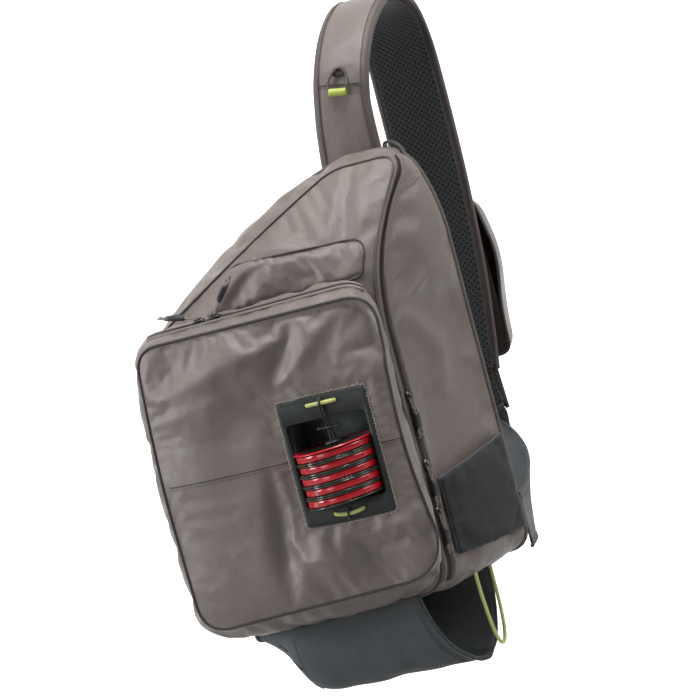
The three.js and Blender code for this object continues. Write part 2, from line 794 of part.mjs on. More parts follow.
// Spools threaded on the post, the lowest one on the tray's end
function spool(bottom) {
  const top = bottom + SPOOL_HEIGHT;
  const groove = SPOOL_RADIUS - SPOOL_GROOVE;
  const profile = [
    { radius: SPOOL_BORE, up: bottom },
    { radius: SPOOL_RADIUS, up: bottom },
    { radius: SPOOL_RADIUS, up: bottom + SPOOL_FLANGE },
    { radius: groove, up: bottom + SPOOL_FLANGE },
    { radius: groove, up: top - SPOOL_FLANGE },
    { radius: SPOOL_RADIUS, up: top - SPOOL_FLANGE },
    { radius: SPOOL_RADIUS, up: top },
    { radius: SPOOL_BORE, up: top },
    { radius: SPOOL_BORE, up: bottom },
  ].map((row) => new THREE.Vector2(row.radius, row.up));
  const geometry = new THREE.LatheGeometry(profile, 14);
  geometry.rotateX(Math.PI / 2);
  geometry.translate(spoolX, spoolY, 0);
  return geometry;
}
for (let i = 0; i < SPOOL_COUNT; i++) {
  const bottom = trayBottom + GAP + (SPOOL_COUNT - 1 - i) * SPOOL_PITCH;
  addPiece(`spool_${i + 1}`, spool(bottom), 'spool');
}

// Lime cord ends on the frame, above and below the tray
function tab(z) {
  const from = windowX - TAB_LENGTH / 2;
  const points = steps(0, 1, 4).map((t) => {
    const x = from + t * TAB_LENGTH;
    const lift = FRAME_THICKNESS + 2 * GAP + TAB_RADIUS;
    return new THREE.Vector3(x, faceY(x, z) - lift, z);
  });
  return tube(points, TAB_RADIUS, 8, false, new THREE.Vector3(0, 0, 1));
}
addPiece('tippet_tab_top', tab(WINDOW_TOP - FRAME_TOP / 3), 'lime');
addPiece('tippet_tab_bottom', tab(windowBottom + FRAME_BOTTOM / 2), 'lime');

// Piping round the pocket face
const pipingPoints = loopSteps(faceOutline).map((u) => {
  const rim = pointOn(faceOutline, u);
  const y = faceY(rim.x, rim.y) + CLOTH / 2;
  rim.addScaledVector(outwardOn(faceOutline, u), PIPING_RADIUS + GAP);
  return new THREE.Vector3(rim.x, y, rim.y);
});
addPiece('face_piping', tube(pipingPoints, PIPING_RADIUS, 6, true), 'nylon');

// Zip on the pocket's top band
const ZIP_FROM = STEPS_ROUND - 1;
const ZIP_TO = STEPS_CORNER + 2;
const ZIP_MIDDLE = 0.55;
const zipShare = (u) => POCKET_ZIP_WIDTH / pocketBandPoint(u, 1).distanceTo(pocketBandPoint(u, 0));
const pocketZip = sheet(
  (u, t) => pocketBandPoint(u, ZIP_MIDDLE + (t - 0.5) * zipShare(u)),
  steps(ZIP_FROM, ZIP_TO, ZIP_TO - ZIP_FROM),
  [0, 0.5, 1],
  { side: -1, thickness: ZIP_THICKNESS, lift: ZIP_THICKNESS + GAP },
);
addPiece('pocket_zip', pocketZip, 'zip');

// Fly patch on the side panel, between its back edge and the zip
const sideFrom = STEPS_CORNER + STEPS_ROUND;
const PATCH_TOP = 0.683;
const PATCH_BOTTOM = 1.03;
const PATCH_REAR = 0.03;
const PATCH_MARGIN = 4;
const patch = sheet(
  (u, t) => {
    const front = bandShare(u, SEAM + ZIP_BAND + PATCH_MARGIN);
    return bandPoint(u, PATCH_REAR + (front - PATCH_REAR) * t);
  },
  steps(sideFrom + PATCH_TOP * STEPS_STRAIGHT, sideFrom + PATCH_BOTTOM * STEPS_STRAIGHT, 4),
  steps(0, 1, 4),
  { side: -1, thickness: CLOTH, lift: CLOTH + GAP },
);
addPiece('fly_patch', patch, 'charcoal');

// Bottle sleeve: a sling of cloth below the body, open at the right

const sleeveMiddleY = -SLEEVE_BACK - SLEEVE_WIDTH / 2;
const sleeveRight = SLEEVE_LEFT + SLEEVE_LENGTH;
const SLEEVE_COLUMNS = 10;
const SLEEVE_NARROW = 0.55;
const SLEEVE_ROUND = 0.8;
const bottomFrom = 2 * STEPS_CORNER + STEPS_ROUND;
function bodyBottomZ(x, y) {
  const share = -y / BODY_DEPTH;
  const right = bandPoint(bottomFrom, share).x;
  const left = bandPoint(bottomFrom + STEPS_STRAIGHT, share).x;
  const t = Math.min(Math.max((right - x) / (right - left), 0), 1);
  return bandPoint(bottomFrom + t * STEPS_STRAIGHT, share).z;
}
// u runs to the mouth, v from the front edge under the bag to the back edge
function sleevePoint(u, v) {
  const share = Math.min(Math.max(u, 0), SLEEVE_COLUMNS) / SLEEVE_COLUMNS;
  const angle = v * Math.PI;
  const shift = v < 0.5 ? -MOUTH_CUT_BACK * (1 - v * 2) : MOUTH_REACH * (v * 2 - 1);
  const x = THREE.MathUtils.lerp(SLEEVE_LEFT, sleeveRight, share) + shift * share ** 3;
  const drop = smooth(SLEEVE_ROWS, 'along', 'drop', share);
  const half = (SLEEVE_WIDTH / 2) * THREE.MathUtils.lerp(SLEEVE_NARROW, 1, drop);
  const round = Math.max(Math.sin(angle), 0);
  const y = sleeveMiddleY - (half + SLEEVE_BULGE * round) * Math.cos(angle);
  const z = bodyBottomZ(x, y) - GAP - SLEEVE_DROP * drop * round ** SLEEVE_ROUND;
  return new THREE.Vector3(x, y, z);
}
const sleeveSteps = steps(0, SLEEVE_COLUMNS, SLEEVE_COLUMNS);
const sleeve = sheet(sleevePoint, sleeveSteps, steps(0, 1, 12), { side: -1 });
addPiece('bottle_sleeve', sleeve, 'charcoal');

const cordPoints = BOTTLE_CORD_POINTS.map((point) => new THREE.Vector3(...point));
const cordCurve = new THREE.CatmullRomCurve3(cordPoints);
const RIGHT = new THREE.Vector3(1, 0, 0);
const bottleCord = tube(cordCurve.getSpacedPoints(22), CORD_RADIUS, 8, false, RIGHT);
addPiece('bottle_cord', bottleCord, 'lime');

// Strap loop

const strapPlace = (row) => new THREE.Vector3(
  row.across * BODY_WIDTH,
  row.back * LOOP_DEPTH,
  row.up * LOOP_HEIGHT,
);
const strapCurve = new THREE.CatmullRomCurve3(STRAP_ROWS.map(strapPlace));
// Value of a route's column at t along its rows
function mixed(rows, key, t) {
  const place = t * (rows.length - 1);
  const low = Math.min(Math.floor(place), rows.length - 2);
  return THREE.MathUtils.lerp(rows[low][key], rows[low + 1][key], place - low);
}
function strapStation(t, inset = 0) {
  const along = strapCurve.getTangent(t);
  const across = RIGHT.clone().addScaledVector(along, -RIGHT.dot(along)).normalize();
  const inward = along.clone().cross(across);
  const width = mixed(STRAP_ROWS, 'wide', t) * STRAP_WIDTH - 2 * inset;
  return { point: strapCurve.getPoint(t), along, across, inward, width };
}
const strapSteps = steps(0, 1, 3 * (STRAP_ROWS.length - 1));
const coverStations = strapSteps.map((t) => strapStation(t));
addPiece('strap_cover', strip(coverStations, -STRAP_COVER, 0, 2), 'nylon');
const padStations = strapSteps.map((t) => strapStation(t, STRAP_PAD_INSET));
addPiece('strap_pad', strip(padStations, PAD_CLEARANCE, PAD_CLEARANCE + STRAP_PAD, 1.5), 'mesh');

// Pouch on the outer face of the far stretch
const pouchPoints = outline(
  [
    { across: 0, up: 1, round: 0.3 },
    { across: 1, up: 1, round: 0.3 },
    { across: 1, up: 0, round: 0.2 },
    { across: 0, up: 0, round: 0.2 },
  ],
  POUCH_WIDTH,
  POUCH_HEIGHT,
  POUCH_LEFT,
  POUCH_BOTTOM,
);
const pouchRimY = LOOP_DEPTH + STRAP_COVER + GAP + POUCH_LIFT;
const pouchY = (x, z, share) => pouchRimY + POUCH_DEPTH * crownShare(share);
const pouch = sheet(
  filledOutline(pouchPoints, pouchY),
  loopSteps(pouchPoints),
  [1, 0.97, 0.88, 0.65, 0.33, 0],
  { side: -1, loop: true, pole: true },
);
addPiece('strap_pouch', pouch, 'nylon');

// Tapered flap at the strap's end, in the middle of the cover's thickness
const strapEnd = strapStation(1);
const FLAP_WIDE = 0.86;
const FLAP_NARROW = 0.6;
const flapStations = steps(0, 1, 2).map((t) => ({
  point: strapEnd.point.clone().addScaledVector(strapEnd.along, GAP + t * FLAP_LENGTH),
  across: strapEnd.across,
  inward: strapEnd.inward,
  width: strapEnd.width * THREE.MathUtils.lerp(FLAP_WIDE, FLAP_NARROW, t),
}));
const flapLow = -(STRAP_COVER + FLAP_THICKNESS) / 2;
addPiece('strap_end_flap', strip(flapStations, flapLow, flapLow + FLAP_THICKNESS), 'nylon');

// Webbing wing from the flap round to the lower right of the back panel
const wingCurve = new THREE.CatmullRomCurve3(WING_ROWS.map(strapPlace));
function wingStations() {
  return steps(0, 1, 3 * (WING_ROWS.length - 1)).map((t) => {
    const along = wingCurve.getTangent(t);
    const turn = THREE.MathUtils.degToRad(mixed(WING_ROWS, 'turn', t));
    const aim = new THREE.Vector3(Math.cos(turn), 0, Math.sin(turn));
    const across = aim.addScaledVector(along, -aim.dot(along)).normalize();
    const inward = along.clone().cross(across);
    const width = mixed(WING_ROWS, 'wide', t) * WING_WIDTH;
    return { point: wingCurve.getPoint(t), across, inward, width };
  });
}
addPiece('wing', strip(wingStations(), -WEBBING / 2, WEBBING / 2), 'charcoal');

// Folded end of the adjuster webbing, outside the flap
const adjusterStart = flapStations[1].point.clone().addScaledVector(strapEnd.inward, flapLow - GAP);
const adjusterStations = steps(0, 1, 8).map((t) => {
  const angle = t * Math.PI;
  const point = adjusterStart.clone();
  point.addScaledVector(strapEnd.along, ADJUSTER_DROP * Math.sin(angle));
  point.addScaledVector(strapEnd.inward, -WEBBING / 2 - (ADJUSTER_OUT / 2) * (1 - Math.cos(angle)));
  const along = strapEnd.along.clone().multiplyScalar(ADJUSTER_DROP * Math.cos(angle));
  along.addScaledVector(strapEnd.inward, -(ADJUSTER_OUT / 2) * Math.sin(angle)).normalize();
  const inward = along.clone().cross(strapEnd.across);
  return { point, across: strapEnd.across, inward, width: ADJUSTER_WIDTH };
});
addPiece('adjuster_loop', strip(adjusterStations, -WEBBING / 2, WEBBING / 2), 'charcoal');

// Gear loop with its grip, on the front of the strap's near stretch
const GEAR_AT = 0.197;
const GEAR_FLAT = 0.7;
const gearStation = strapStation(GEAR_AT);
const gearLift = STRAP_COVER + GAP + GRIP_RADIUS;
function gearPlace(right, up, lift) {
  const point = gearStation.point.clone().addScaledVector(gearStation.across, right);
  return point.addScaledVector(gearStation.along, up).addScaledVector(gearStation.inward, -lift);
}
const gearBottom = (-GEAR_LOOP_HEIGHT / 2) * GEAR_FLAT;
const gearPoints = steps(0, 1, 16).slice(0, -1).map((t) => {
  const angle = t * 2 * Math.PI;
  const up = Math.max((GEAR_LOOP_HEIGHT / 2) * Math.sin(angle), gearBottom);
  return gearPlace((GEAR_LOOP_WIDTH / 2) * Math.cos(angle), up, gearLift);
});
addPiece('gear_loop', tube(gearPoints, CORD_RADIUS, 8, true, gearStation.inward), 'mesh');
function gearGrip() {
  const bore = CORD_RADIUS + GAP;
  const half = GRIP_LENGTH / 2;
  const profile = [
    { radius: bore, up: -half },
    { radius: GRIP_RADIUS, up: -half },
    { radius: GRIP_RADIUS, up: half },
    { radius: bore, up: half },
    { radius: bore, up: -half },
  ].map((row) => new THREE.Vector2(row.radius, row.up));
  const grip = new THREE.LatheGeometry(profile, 12);
  const axes = new THREE.Matrix4().makeBasis(gearStation.along, gearStation.across, gearStation.inward);
  grip.applyMatrix4(axes);
  const middle = gearPlace(0, gearBottom, gearLift);
  grip.translate(middle.x, middle.y, middle.z);
  return grip;
}
addPiece('gear_loop_grip', gearGrip(), 'lime');

// Small webbing loop on top of the body, beside the strap
const HAUL_FROM = 0.9;
const HAUL_TO = 2.4;
const HAUL_SHARE = 0.2;
function haulStations() {
  const from = bandPoint(HAUL_FROM, HAUL_SHARE);
  const to = bandPoint(HAUL_TO, HAUL_SHARE);
  const lift = new THREE.Vector3(0, 0, WEBBING / 2 + HAUL_LIFT);
  return steps(0, 1, 8).map((t) => {
    const angle = t * Math.PI;
    const point = from.clone().lerp(to, (1 - Math.cos(angle)) / 2).add(lift);
    point.z += HAUL_RISE * Math.sin(angle);
    const along = to.clone().sub(from).multiplyScalar(Math.sin(angle) / 2);
    along.z += HAUL_RISE * Math.cos(angle);
    const across = new THREE.Vector3(0, 1, 0).addScaledVector(along.normalize(), -along.y).normalize();
    return { point, across, inward: along.clone().cross(across), width: HAUL_WIDTH };
  });
}
addPiece('haul_loop', strip(haulStations(), -WEBBING / 2, WEBBING / 2), 'charcoal');

// Zip sliders and their pulls

// Local frame on a band at u: outward, along u, and across towards the front seam
function bandFrame(surface, u, v, lift) {
  const along = surface(u + 0.2, v).sub(surface(u - 0.2, v)).normalize();
  const ahead = surface(u, v + 0.02).sub(surface(u, v - 0.02)).normalize();
  const out = ahead.clone().cross(along).normalize();
  const point = surface(u, v).addScaledVector(out, lift);
  return { point, along, out, across: out.clone().cross(along) };
}

// Low bar of rectangular sections: rows hold its station, width, height and rise
function lowBar(start, along, out, rows) {
  const across = out.clone().cross(along).normalize();
  const rings = rows.map(({ down, wide, thick }) => {
    const middle = start.clone().addScaledVector(along, down);
    return [[-1, 0], [1, 0], [0.8, 1], [-0.8, 1]].map(([right, high]) => {
      const corner = middle.clone().addScaledVector(across, (right * wide) / 2);
      return corner.addScaledVector(out, high * thick);
    });
  });
  return loft(rings);
}

const SLIDER_ROWS = [
  { down: -0.5, wide: 0.6, thick: 0.45 },
  { down: -0.3, wide: 1, thick: 0.6 },
  { down: 0, wide: 0.85, thick: 1 },
  { down: 0.3, wide: 0.75, thick: 1 },
  { down: 0.5, wide: 0.6, thick: 0.6 },
].map((row) => ({
  down: row.down * SLIDER_LENGTH,
  wide: row.wide * SLIDER_WIDTH,
  thick: row.thick * SLIDER_HEIGHT,
}));
const PULL_ROWS = [
  { down: 0, wide: 0.42, thick: 0.4 },
  { down: 0.25, wide: 0.42, thick: 0.4 },
  { down: 0.33, wide: 0.9, thick: 0.75 },
  { down: 0.85, wide: 1, thick: 0.8 },
  { down: 1, wide: 0.7, thick: 0.5 },
].map((row) => ({
  down: row.down * PULL_LENGTH,
  wide: row.wide * PULL_WIDTH,
  thick: row.thick * PULL_WIDTH,
}));

// Side sliders as shares of the straight stretch of the side zip, pulls hanging down
const SIDE_SLIDERS = [{ at: 0.3 }, { at: 0.6 }, { at: 0.81 }];
SIDE_SLIDERS.forEach(({ at }, i) => {
  const u = sideFrom + at * STEPS_STRAIGHT;
  const middle = bandShare(u, SEAM + ZIP_BAND / 2);
  const frame = bandFrame(bandPoint, u, middle, GAP);
  addPiece(`side_slider_${i + 1}`, lowBar(frame.point, frame.along, frame.out, SLIDER_ROWS), 'metal');
  const start = frame.point.clone().addScaledVector(frame.along, SLIDER_LENGTH / 2 + GAP);
  start.addScaledVector(frame.out, GAP);
  addPiece(`side_pull_${i + 1}`, lowBar(start, frame.along, frame.out, PULL_ROWS), 'plastic');
});

// Pocket sliders on the top zip: place in u and the way each pull points
const POCKET_SLIDERS = [
  { at: STEPS_ROUND + 0.97, right: 0.55, back: 0.35, up: 0.76 },
  { at: STEPS_ROUND + 0.7, right: -0.97, back: 0.02, up: 0.2 },
];
POCKET_SLIDERS.forEach((row, i) => {
  const lift = ZIP_THICKNESS + 2 * GAP;
  const frame = bandFrame(pocketBandPoint, row.at, ZIP_MIDDLE, lift);
  addPiece(`pocket_slider_${i + 1}`, lowBar(frame.point, frame.along, frame.out, SLIDER_ROWS), 'metal');
  const along = new THREE.Vector3(row.right, row.back, row.up).normalize();
  const out = frame.out.clone().addScaledVector(along, -frame.out.dot(along)).normalize();
  const start = frame.point.clone().addScaledVector(frame.out, SLIDER_HEIGHT + GAP);
  if (row.right < 0) {
    start.copy(frame.point).addScaledVector(frame.along, -SLIDER_LENGTH / 2 - 2 * GAP);
  }
  addPiece(`pocket_pull_${i + 1}`, lowBar(start, along, out, PULL_ROWS), 'plastic');
});

// The origin is the inside top of the strap
const topStation = strapStation(HANG_AT);
const hang = topStation.point.clone().addScaledVector(topStation.inward, PAD_CLEARANCE + STRAP_PAD);
bag.position.copy(hang).negate();

export default bag;
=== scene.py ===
import math

import bpy
from mathutils import Matrix, Vector, noise
from mathutils.bvhtree import BVHTree
from mathutils.geometry import delaunay_2d_cdt


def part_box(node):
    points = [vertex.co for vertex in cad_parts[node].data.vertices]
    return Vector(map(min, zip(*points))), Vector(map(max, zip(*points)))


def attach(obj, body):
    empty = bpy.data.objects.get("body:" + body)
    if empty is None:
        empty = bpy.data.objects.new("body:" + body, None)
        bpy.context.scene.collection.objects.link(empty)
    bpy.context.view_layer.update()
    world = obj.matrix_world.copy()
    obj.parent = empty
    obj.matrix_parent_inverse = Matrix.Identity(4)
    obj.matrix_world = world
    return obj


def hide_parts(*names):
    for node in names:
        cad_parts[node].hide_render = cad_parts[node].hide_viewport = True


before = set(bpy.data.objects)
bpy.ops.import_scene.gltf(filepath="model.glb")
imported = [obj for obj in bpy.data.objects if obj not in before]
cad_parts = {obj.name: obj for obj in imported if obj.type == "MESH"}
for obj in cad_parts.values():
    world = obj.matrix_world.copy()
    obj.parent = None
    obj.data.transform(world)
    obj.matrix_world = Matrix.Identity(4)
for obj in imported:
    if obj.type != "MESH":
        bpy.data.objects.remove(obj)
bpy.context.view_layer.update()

scene = bpy.context.scene

# Sizes of the bag in millimetres, in the drawing frame of the solids
CLOTH, GAP, SEAM = 2.0, 0.3, 3.2
BODY_WIDTH, BODY_HEIGHT, BODY_DEPTH, BODY_PUFF = 290.0, 390.0, 100.0, 4.0
BACK_PAD, ZIP_BAND = 10.0, 12.0
POCKET_WIDTH, POCKET_HEIGHT, POCKET_DEPTH = 226.0, 252.0, 55.0
POCKET_LEFT, POCKET_BOTTOM, POCKET_CROWN, POCKET_PUFF = 31.0, 25.0, 10.0, 4.0
POCKET_LIFT, PIPING_RADIUS, UPPER_CROWN, UPPER_LIFT = 1.55, 1.4, 6.3, 2.4
WINDOW_WIDTH, WINDOW_HEIGHT, WINDOW_LEFT, WINDOW_TOP = 82.0, 110.0, 154.0, 206.0
DOCK_RISE, DOCK_MARGIN, DOCK_BLEND = 8.0, 8.0, 24.0
FRAME_SIDE, FRAME_TOP, FRAME_BOTTOM, FRAME_THICKNESS = 4.5, 20.0, 16.0, 1.6
SPOOL_COUNT, SPOOL_HEIGHT, SPOOL_PITCH, SPOOL_BORE, SPOOL_SET_BACK = 5, 9.4, 9.8, 3.7, 5.0
SPOOL_LEAN, SPOOL_LIFT, SPOOL_SHIFT = 0.06, 1.6, -0.8
STRAP_WIDTH, STRAP_COVER, STRAP_PAD, STRAP_PAD_INSET, PAD_CLEARANCE = 66.0, 6.0, 5.0, 5.0, 0.6
LOOP_DEPTH, LOOP_HEIGHT = 180.0, 540.0
POUCH_WIDTH, POUCH_HEIGHT, POUCH_DEPTH = 60.0, 154.0, 42.0
POUCH_LEFT, POUCH_BOTTOM, POUCH_LIFT = 202.0, 168.0, 0.2
FLAP_LENGTH, FLAP_THICKNESS, FLAP_DEPTH, WING_WIDTH = 38.0, 3.0, -4.5, 50.0
SLEEVE_LENGTH, SLEEVE_WIDTH, SLEEVE_DROP = 199.0, 86.0, 71.0
SLEEVE_LEFT, SLEEVE_BACK, SLEEVE_BULGE = 46.0, 12.0, 2.6
MOUTH_CUT_BACK, MOUTH_REACH = 34.0, 6.0
CORD_RADIUS = 1.7
GEAR_AT, GEAR_REACH, GEAR_FLAT, GRIP_LENGTH, GRIP_RADIUS = 0.197, 13, 0.7, 16.0, 3.6

# Outlines: place across and up as shares, and how far the corner is rounded
BACK_CORNERS = [
    (0.935, 1.0, 0.1), (1.0, 0.85, 0.1), (1.0, 0.038, 0.07), (0.02, 0.018, 0.14),
    (0.06, 0.715, 0.06), (0.41, 0.925, 0.26), (0.73, 1.0, 0.05),
]
FRONT_CORNERS = [
    (0.955, 0.985, 0.06), (0.84, 0.752, 0.2), (0.825, 0.02, 0.1), (0.045, 0.005, 0.14),
    (0.035, 0.675, 0.08), (0.53, 0.897, 0.17), (0.74, 0.985, 0.05),
]
FACE_CORNERS = [
    (0.03, 1.0, 0.09), (1.015, 1.01, 0.12), (0.985, 0.5, 0.2), (1.035, 0.035, 0.2),
    (0.0, -0.01, 0.12), (-0.01, 0.54, 0.2),
]
BASE_CORNERS = [
    (-0.05, 1.025, 0.12), (0.9, 1.065, 0.1), (0.905, 0.5, 0.2), (0.905, -0.062, 0.16),
    (-0.075, -0.085, 0.16), (-0.078, 0.54, 0.2),
]
UPPER_CORNERS = [(0.42, 0.84, 0.03), (0.85, 0.828, 0.05), (0.825, 0.746, 0.02), (0.21, 0.726, 0.03)]
POUCH_CORNERS = [(0, 1, 0.3), (1, 1, 0.3), (1, 0, 0.2), (0, 0, 0.2)]

# Folds: place across and up, length, width, turn in degrees and height
BODY_FOLDS = [
    (0.62, 0.87, 0.2, 0.07, -32, 0.09), (0.42, 0.8, 0.16, 0.02, -35, 0.04),
    (0.78, 0.86, 0.03, 0.07, 12, -0.04),
]
FACE_FOLDS = [
    (0.68, 0.85, 0.17, 0.03, -38, 0.18), (0.6, 0.84, 0.16, 0.045, -48, -0.14),
    (0.42, 0.9, 0.18, 0.04, -14, 0.16), (0.17, 0.6, 0.3, 0.2, -80, 0.05),
    (0.45, 0.3, 0.24, 0.045, -80, -0.22), (0.6, 0.16, 0.16, 0.06, 50, 0.14),
    (0.78, 0.13, 0.16, 0.06, 60, -0.12),
]

# Depth of the body by height, and drop of the sleeve along its length
DEPTH_ROWS = [
    (0.0, 0.96), (0.1, 1.0), (0.4, 1.0), (0.7, 1.0), (0.78, 0.93), (0.85, 0.79), (0.93, 0.57), (1.0, 0.33),
]
SLEEVE_ROWS = [
    (0.0, 0.16), (0.06, 0.3), (0.12, 0.5), (0.15, 0.68), (0.19, 0.88), (0.26, 0.98), (0.4, 1.0),
    (0.6, 0.99), (0.8, 1.0), (1.0, 0.985),
]

# Routes of strap and wing: a point, a share of the width, and for the wing its turn in degrees
STRAP_ROWS = [
    (0.741, 0.098, 0.615, 0.848), (0.745, 0.098, 0.717, 0.848), (0.759, 0.106, 0.809, 0.758),
    (0.776, 0.15, 0.865, 0.758), (0.795, 0.29, 0.922, 0.788), (0.81, 0.5, 0.958, 0.833),
    (0.815, 0.67, 0.962, 0.894), (0.815, 0.845, 0.936, 0.955), (0.807, 0.967, 0.874, 0.985),
    (0.803, 0.996, 0.781, 1), (0.797, 1.0, 0.633, 1), (0.779, 1.0, 0.467, 1),
    (0.755, 1.0, 0.356, 1), (0.741, 1.0, 0.296, 0.97),
]
WING_ROWS = [
    (0.729, 1.02, 0.213, 0.72, 0), (0.738, 1.015, 0.19, 0.8, 6), (0.79, 0.95, 0.15, 0.94, 26),
    (0.865, 0.76, 0.113, 1.02, 52), (0.935, 0.5, 0.084, 1.02, 74), (0.985, 0.25, 0.072, 0.98, 86),
    (1.006, 0.008, 0.07, 0.96, 90),
]
BOTTLE_CORD_POINTS = [
    (254, -60, 11.6), (254.2, -60, 2), (254.4, -60, -8), (255, -59.5, -20), (255.6, -58, -34),
    (256, -53, -48), (256.2, -45, -57), (256.2, -36, -58), (256, -28, -51), (255.6, -22, -38),
    (255.2, -19, -24), (255, -18, -10), (255, -18, 1), (255, -18, 9.9),
]

# Moulded parts: place along the part, width and height
SLIDER_SHAPE = [
    (-5.5, 3.2, 1.4), (-5.1, 4.2, 2.0), (-3.3, 7.0, 2.6), (-1.5, 6.4, 2.8), (0, 5.8, 2.9), (3.3, 5.2, 2.8),
    (5.0, 4.6, 2.2), (5.5, 3.8, 1.4),
]
BRIDGE_SHAPE = [(-3.6, 1.8, 1.0), (-2.8, 2.2, 1.8), (0, 2.2, 2.2), (2.6, 2.2, 1.8), (3.4, 1.8, 1.0)]
GRIP_SHAPE = [
    (8.2, 3.4, 2.6), (8.8, 4.8, 3.8), (10.5, 5.4, 4.4), (15, 5.7, 4.6), (20, 6.0, 4.8), (22.6, 5.8, 4.6),
    (24.4, 4.9, 3.8), (25.2, 3.4, 2.6),
]

# Kinds of stitches: pitch, length and radius
ZIP_STITCH, SEAM_STITCH, POCKET_STITCH = (3.6, 2.3, 0.3), (3.2, 2.2, 0.28), (3.2, 2.0, 0.34)
ZIGZAG_STITCH, FRAME_STITCH, PATCH_STITCH = (2.4, 2.5, 0.4), (2.8, 1.9, 0.3), (3.0, 2.0, 0.28)
SLEEVE_STITCH, STRAP_STITCH, FLAP_STITCH = (3.2, 2.1, 0.3), (3.4, 2.3, 0.32), (3.0, 2.0, 0.3)

ACROSS, DEEP, UP = Vector((1, 0, 0)), Vector((0, 1, 0)), Vector((0, 0, 1))


def smoothstep(x, low, high):
    t = min(max((x - low) / (high - low), 0.0), 1.0)
    return t * t * (3 - 2 * t)


def lerp(a, b, t):
    return a + (b - a) * t


def steps(start, stop, count):
    return [start + (stop - start) * i / count for i in range(count + 1)]


def turns(count):
    return steps(0, 2 * math.pi, count)[:-1]


# Outlines: u counts 7 steps for each corner, 4 round it and 3 along the straight after it
ROUND, STRAIGHT = 4, 3
CORNER = ROUND + STRAIGHT


class Outline:
    def __init__(self, rows, width, height, left=0.0, bottom=0.0):
        points = [Vector((left + across * width, bottom + up * height)) for across, up, _ in rows]
        self.arcs = []
        for i, corner in enumerate(points):
            reach = rows[i][2] * width
            start = corner + (points[i - 1] - corner).normalized() * reach
            end = corner + (points[(i + 1) % len(points)] - corner).normalized() * reach
            self.arcs.append((start, corner, end))
        self.count = CORNER * len(rows)

    def at(self, u):
        u %= self.count
        i = int(u // CORNER)
        rest = u - i * CORNER
        start, corner, end = self.arcs[i]
        if rest < ROUND:
            t = rest / ROUND
            return start * (1 - t) ** 2 + corner * (2 * t * (1 - t)) + end * t * t
        return end.lerp(self.arcs[(i + 1) % len(self.arcs)][0], (rest - ROUND) / STRAIGHT)

    def outward(self, u):
        along = (self.at(u + 0.7) - self.at(u - 0.7)).normalized()
        return Vector((-along.y, along.x))

    def middle(self):
        return sum((self.at(k) for k in range(self.count)), Vector((0, 0))) / self.count

    def share(self):
        """A function of x and z that goes from 0 in the middle to 1 at the outline."""
        loop = [self.at(k / 4) for k in range(self.count * 4)]
        middle = self.middle()

        def share(x, z):
            away = Vector((x, z)) - middle
            if away.length < 1e-6:
                return 0.0
            best = 1e9
            for a, b in zip(loop, loop[1:] + loop[:1]):
                side, start = b - a, a - middle
                cross = away.x * side.y - away.y * side.x
                if abs(cross) < 1e-12:
                    continue
                t = (start.x * side.y - start.y * side.x) / cross
                s = (start.x * away.y - start.y * away.x) / cross
                if t > 0 and -1e-6 <= s <= 1 + 1e-6:
                    best = min(best, t)
            return min(1 / best, 1.0)
        return share


def smooth(rows, at):
    """Smooth curve through rows of place and value."""
    i = 0
    while i < len(rows) - 2 and at > rows[i + 1][0]:
        i += 1

    def slope(k):
        low, high = rows[max(k - 1, 0)], rows[min(k + 1, len(rows) - 1)]
        return (high[1] - low[1]) / (high[0] - low[0])

    span = rows[i + 1][0] - rows[i][0]
    t = min(max((at - rows[i][0]) / span, 0), 1)
    lead = (1 + 2 * t) * (1 - t) ** 2 * rows[i][1] + t * (1 - t) ** 2 * span * slope(i)
    return lead + t * t * (3 - 2 * t) * rows[i + 1][1] + t * t * (t - 1) * span * slope(i + 1)


def fold_rise(rows, x, z, width, height, left=0.0, bottom=0.0):
    rise = 0.0
    for across, up, wide, tall, turn, high in rows:
        turn = math.radians(turn)
        dx, dz = x - left - across * width, z - bottom - up * height
        along = (dx * math.cos(turn) - dz * math.sin(turn)) / (wide * width)
        aside = (dx * math.sin(turn) + dz * math.cos(turn)) / (tall * height)
        rise += high * math.exp(-along * along - aside * aside)
    return rise


back_outline = Outline(BACK_CORNERS, BODY_WIDTH, BODY_HEIGHT)
front_outline = Outline(FRONT_CORNERS, BODY_WIDTH, BODY_HEIGHT)
upper_outline = Outline(UPPER_CORNERS, BODY_WIDTH, BODY_HEIGHT)
face_outline = Outline(FACE_CORNERS, POCKET_WIDTH, POCKET_HEIGHT, POCKET_LEFT, POCKET_BOTTOM)
base_outline = Outline(BASE_CORNERS, POCKET_WIDTH, POCKET_HEIGHT, POCKET_LEFT, POCKET_BOTTOM)
pouch_outline = Outline(POUCH_CORNERS, POUCH_WIDTH, POUCH_HEIGHT, POUCH_LEFT, POUCH_BOTTOM)

# The drawing frame's place in the scene, from the back panel's lowest corner and outer face
panel_low, panel_high = (Vector(corner) * 1000 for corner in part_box("back_panel"))
panel_left = min(back_outline.at(k).x for k in range(back_outline.count))
panel_foot = min(back_outline.at(k).y for k in range(back_outline.count))
HANG = Vector((panel_left - panel_low.x, BACK_PAD - panel_high.y, panel_foot - panel_low.z))


def place(point):
    return (Vector(point) - HANG) / 1000


def drawn(point):
    return Vector(point) * 1000 + HANG


def added(name, data):
    thing = bpy.data.objects.new(name, data)
    scene.collection.objects.link(thing)
    return thing


# Camera at the photograph's viewing angle
AZIMUTH, ELEVATION, ROLL = math.radians(20), math.radians(5), math.radians(15)
DISTANCE, SENSOR, LENS = 2.8, 36, 160
AIM = (173.0, 0.0, 222.0)


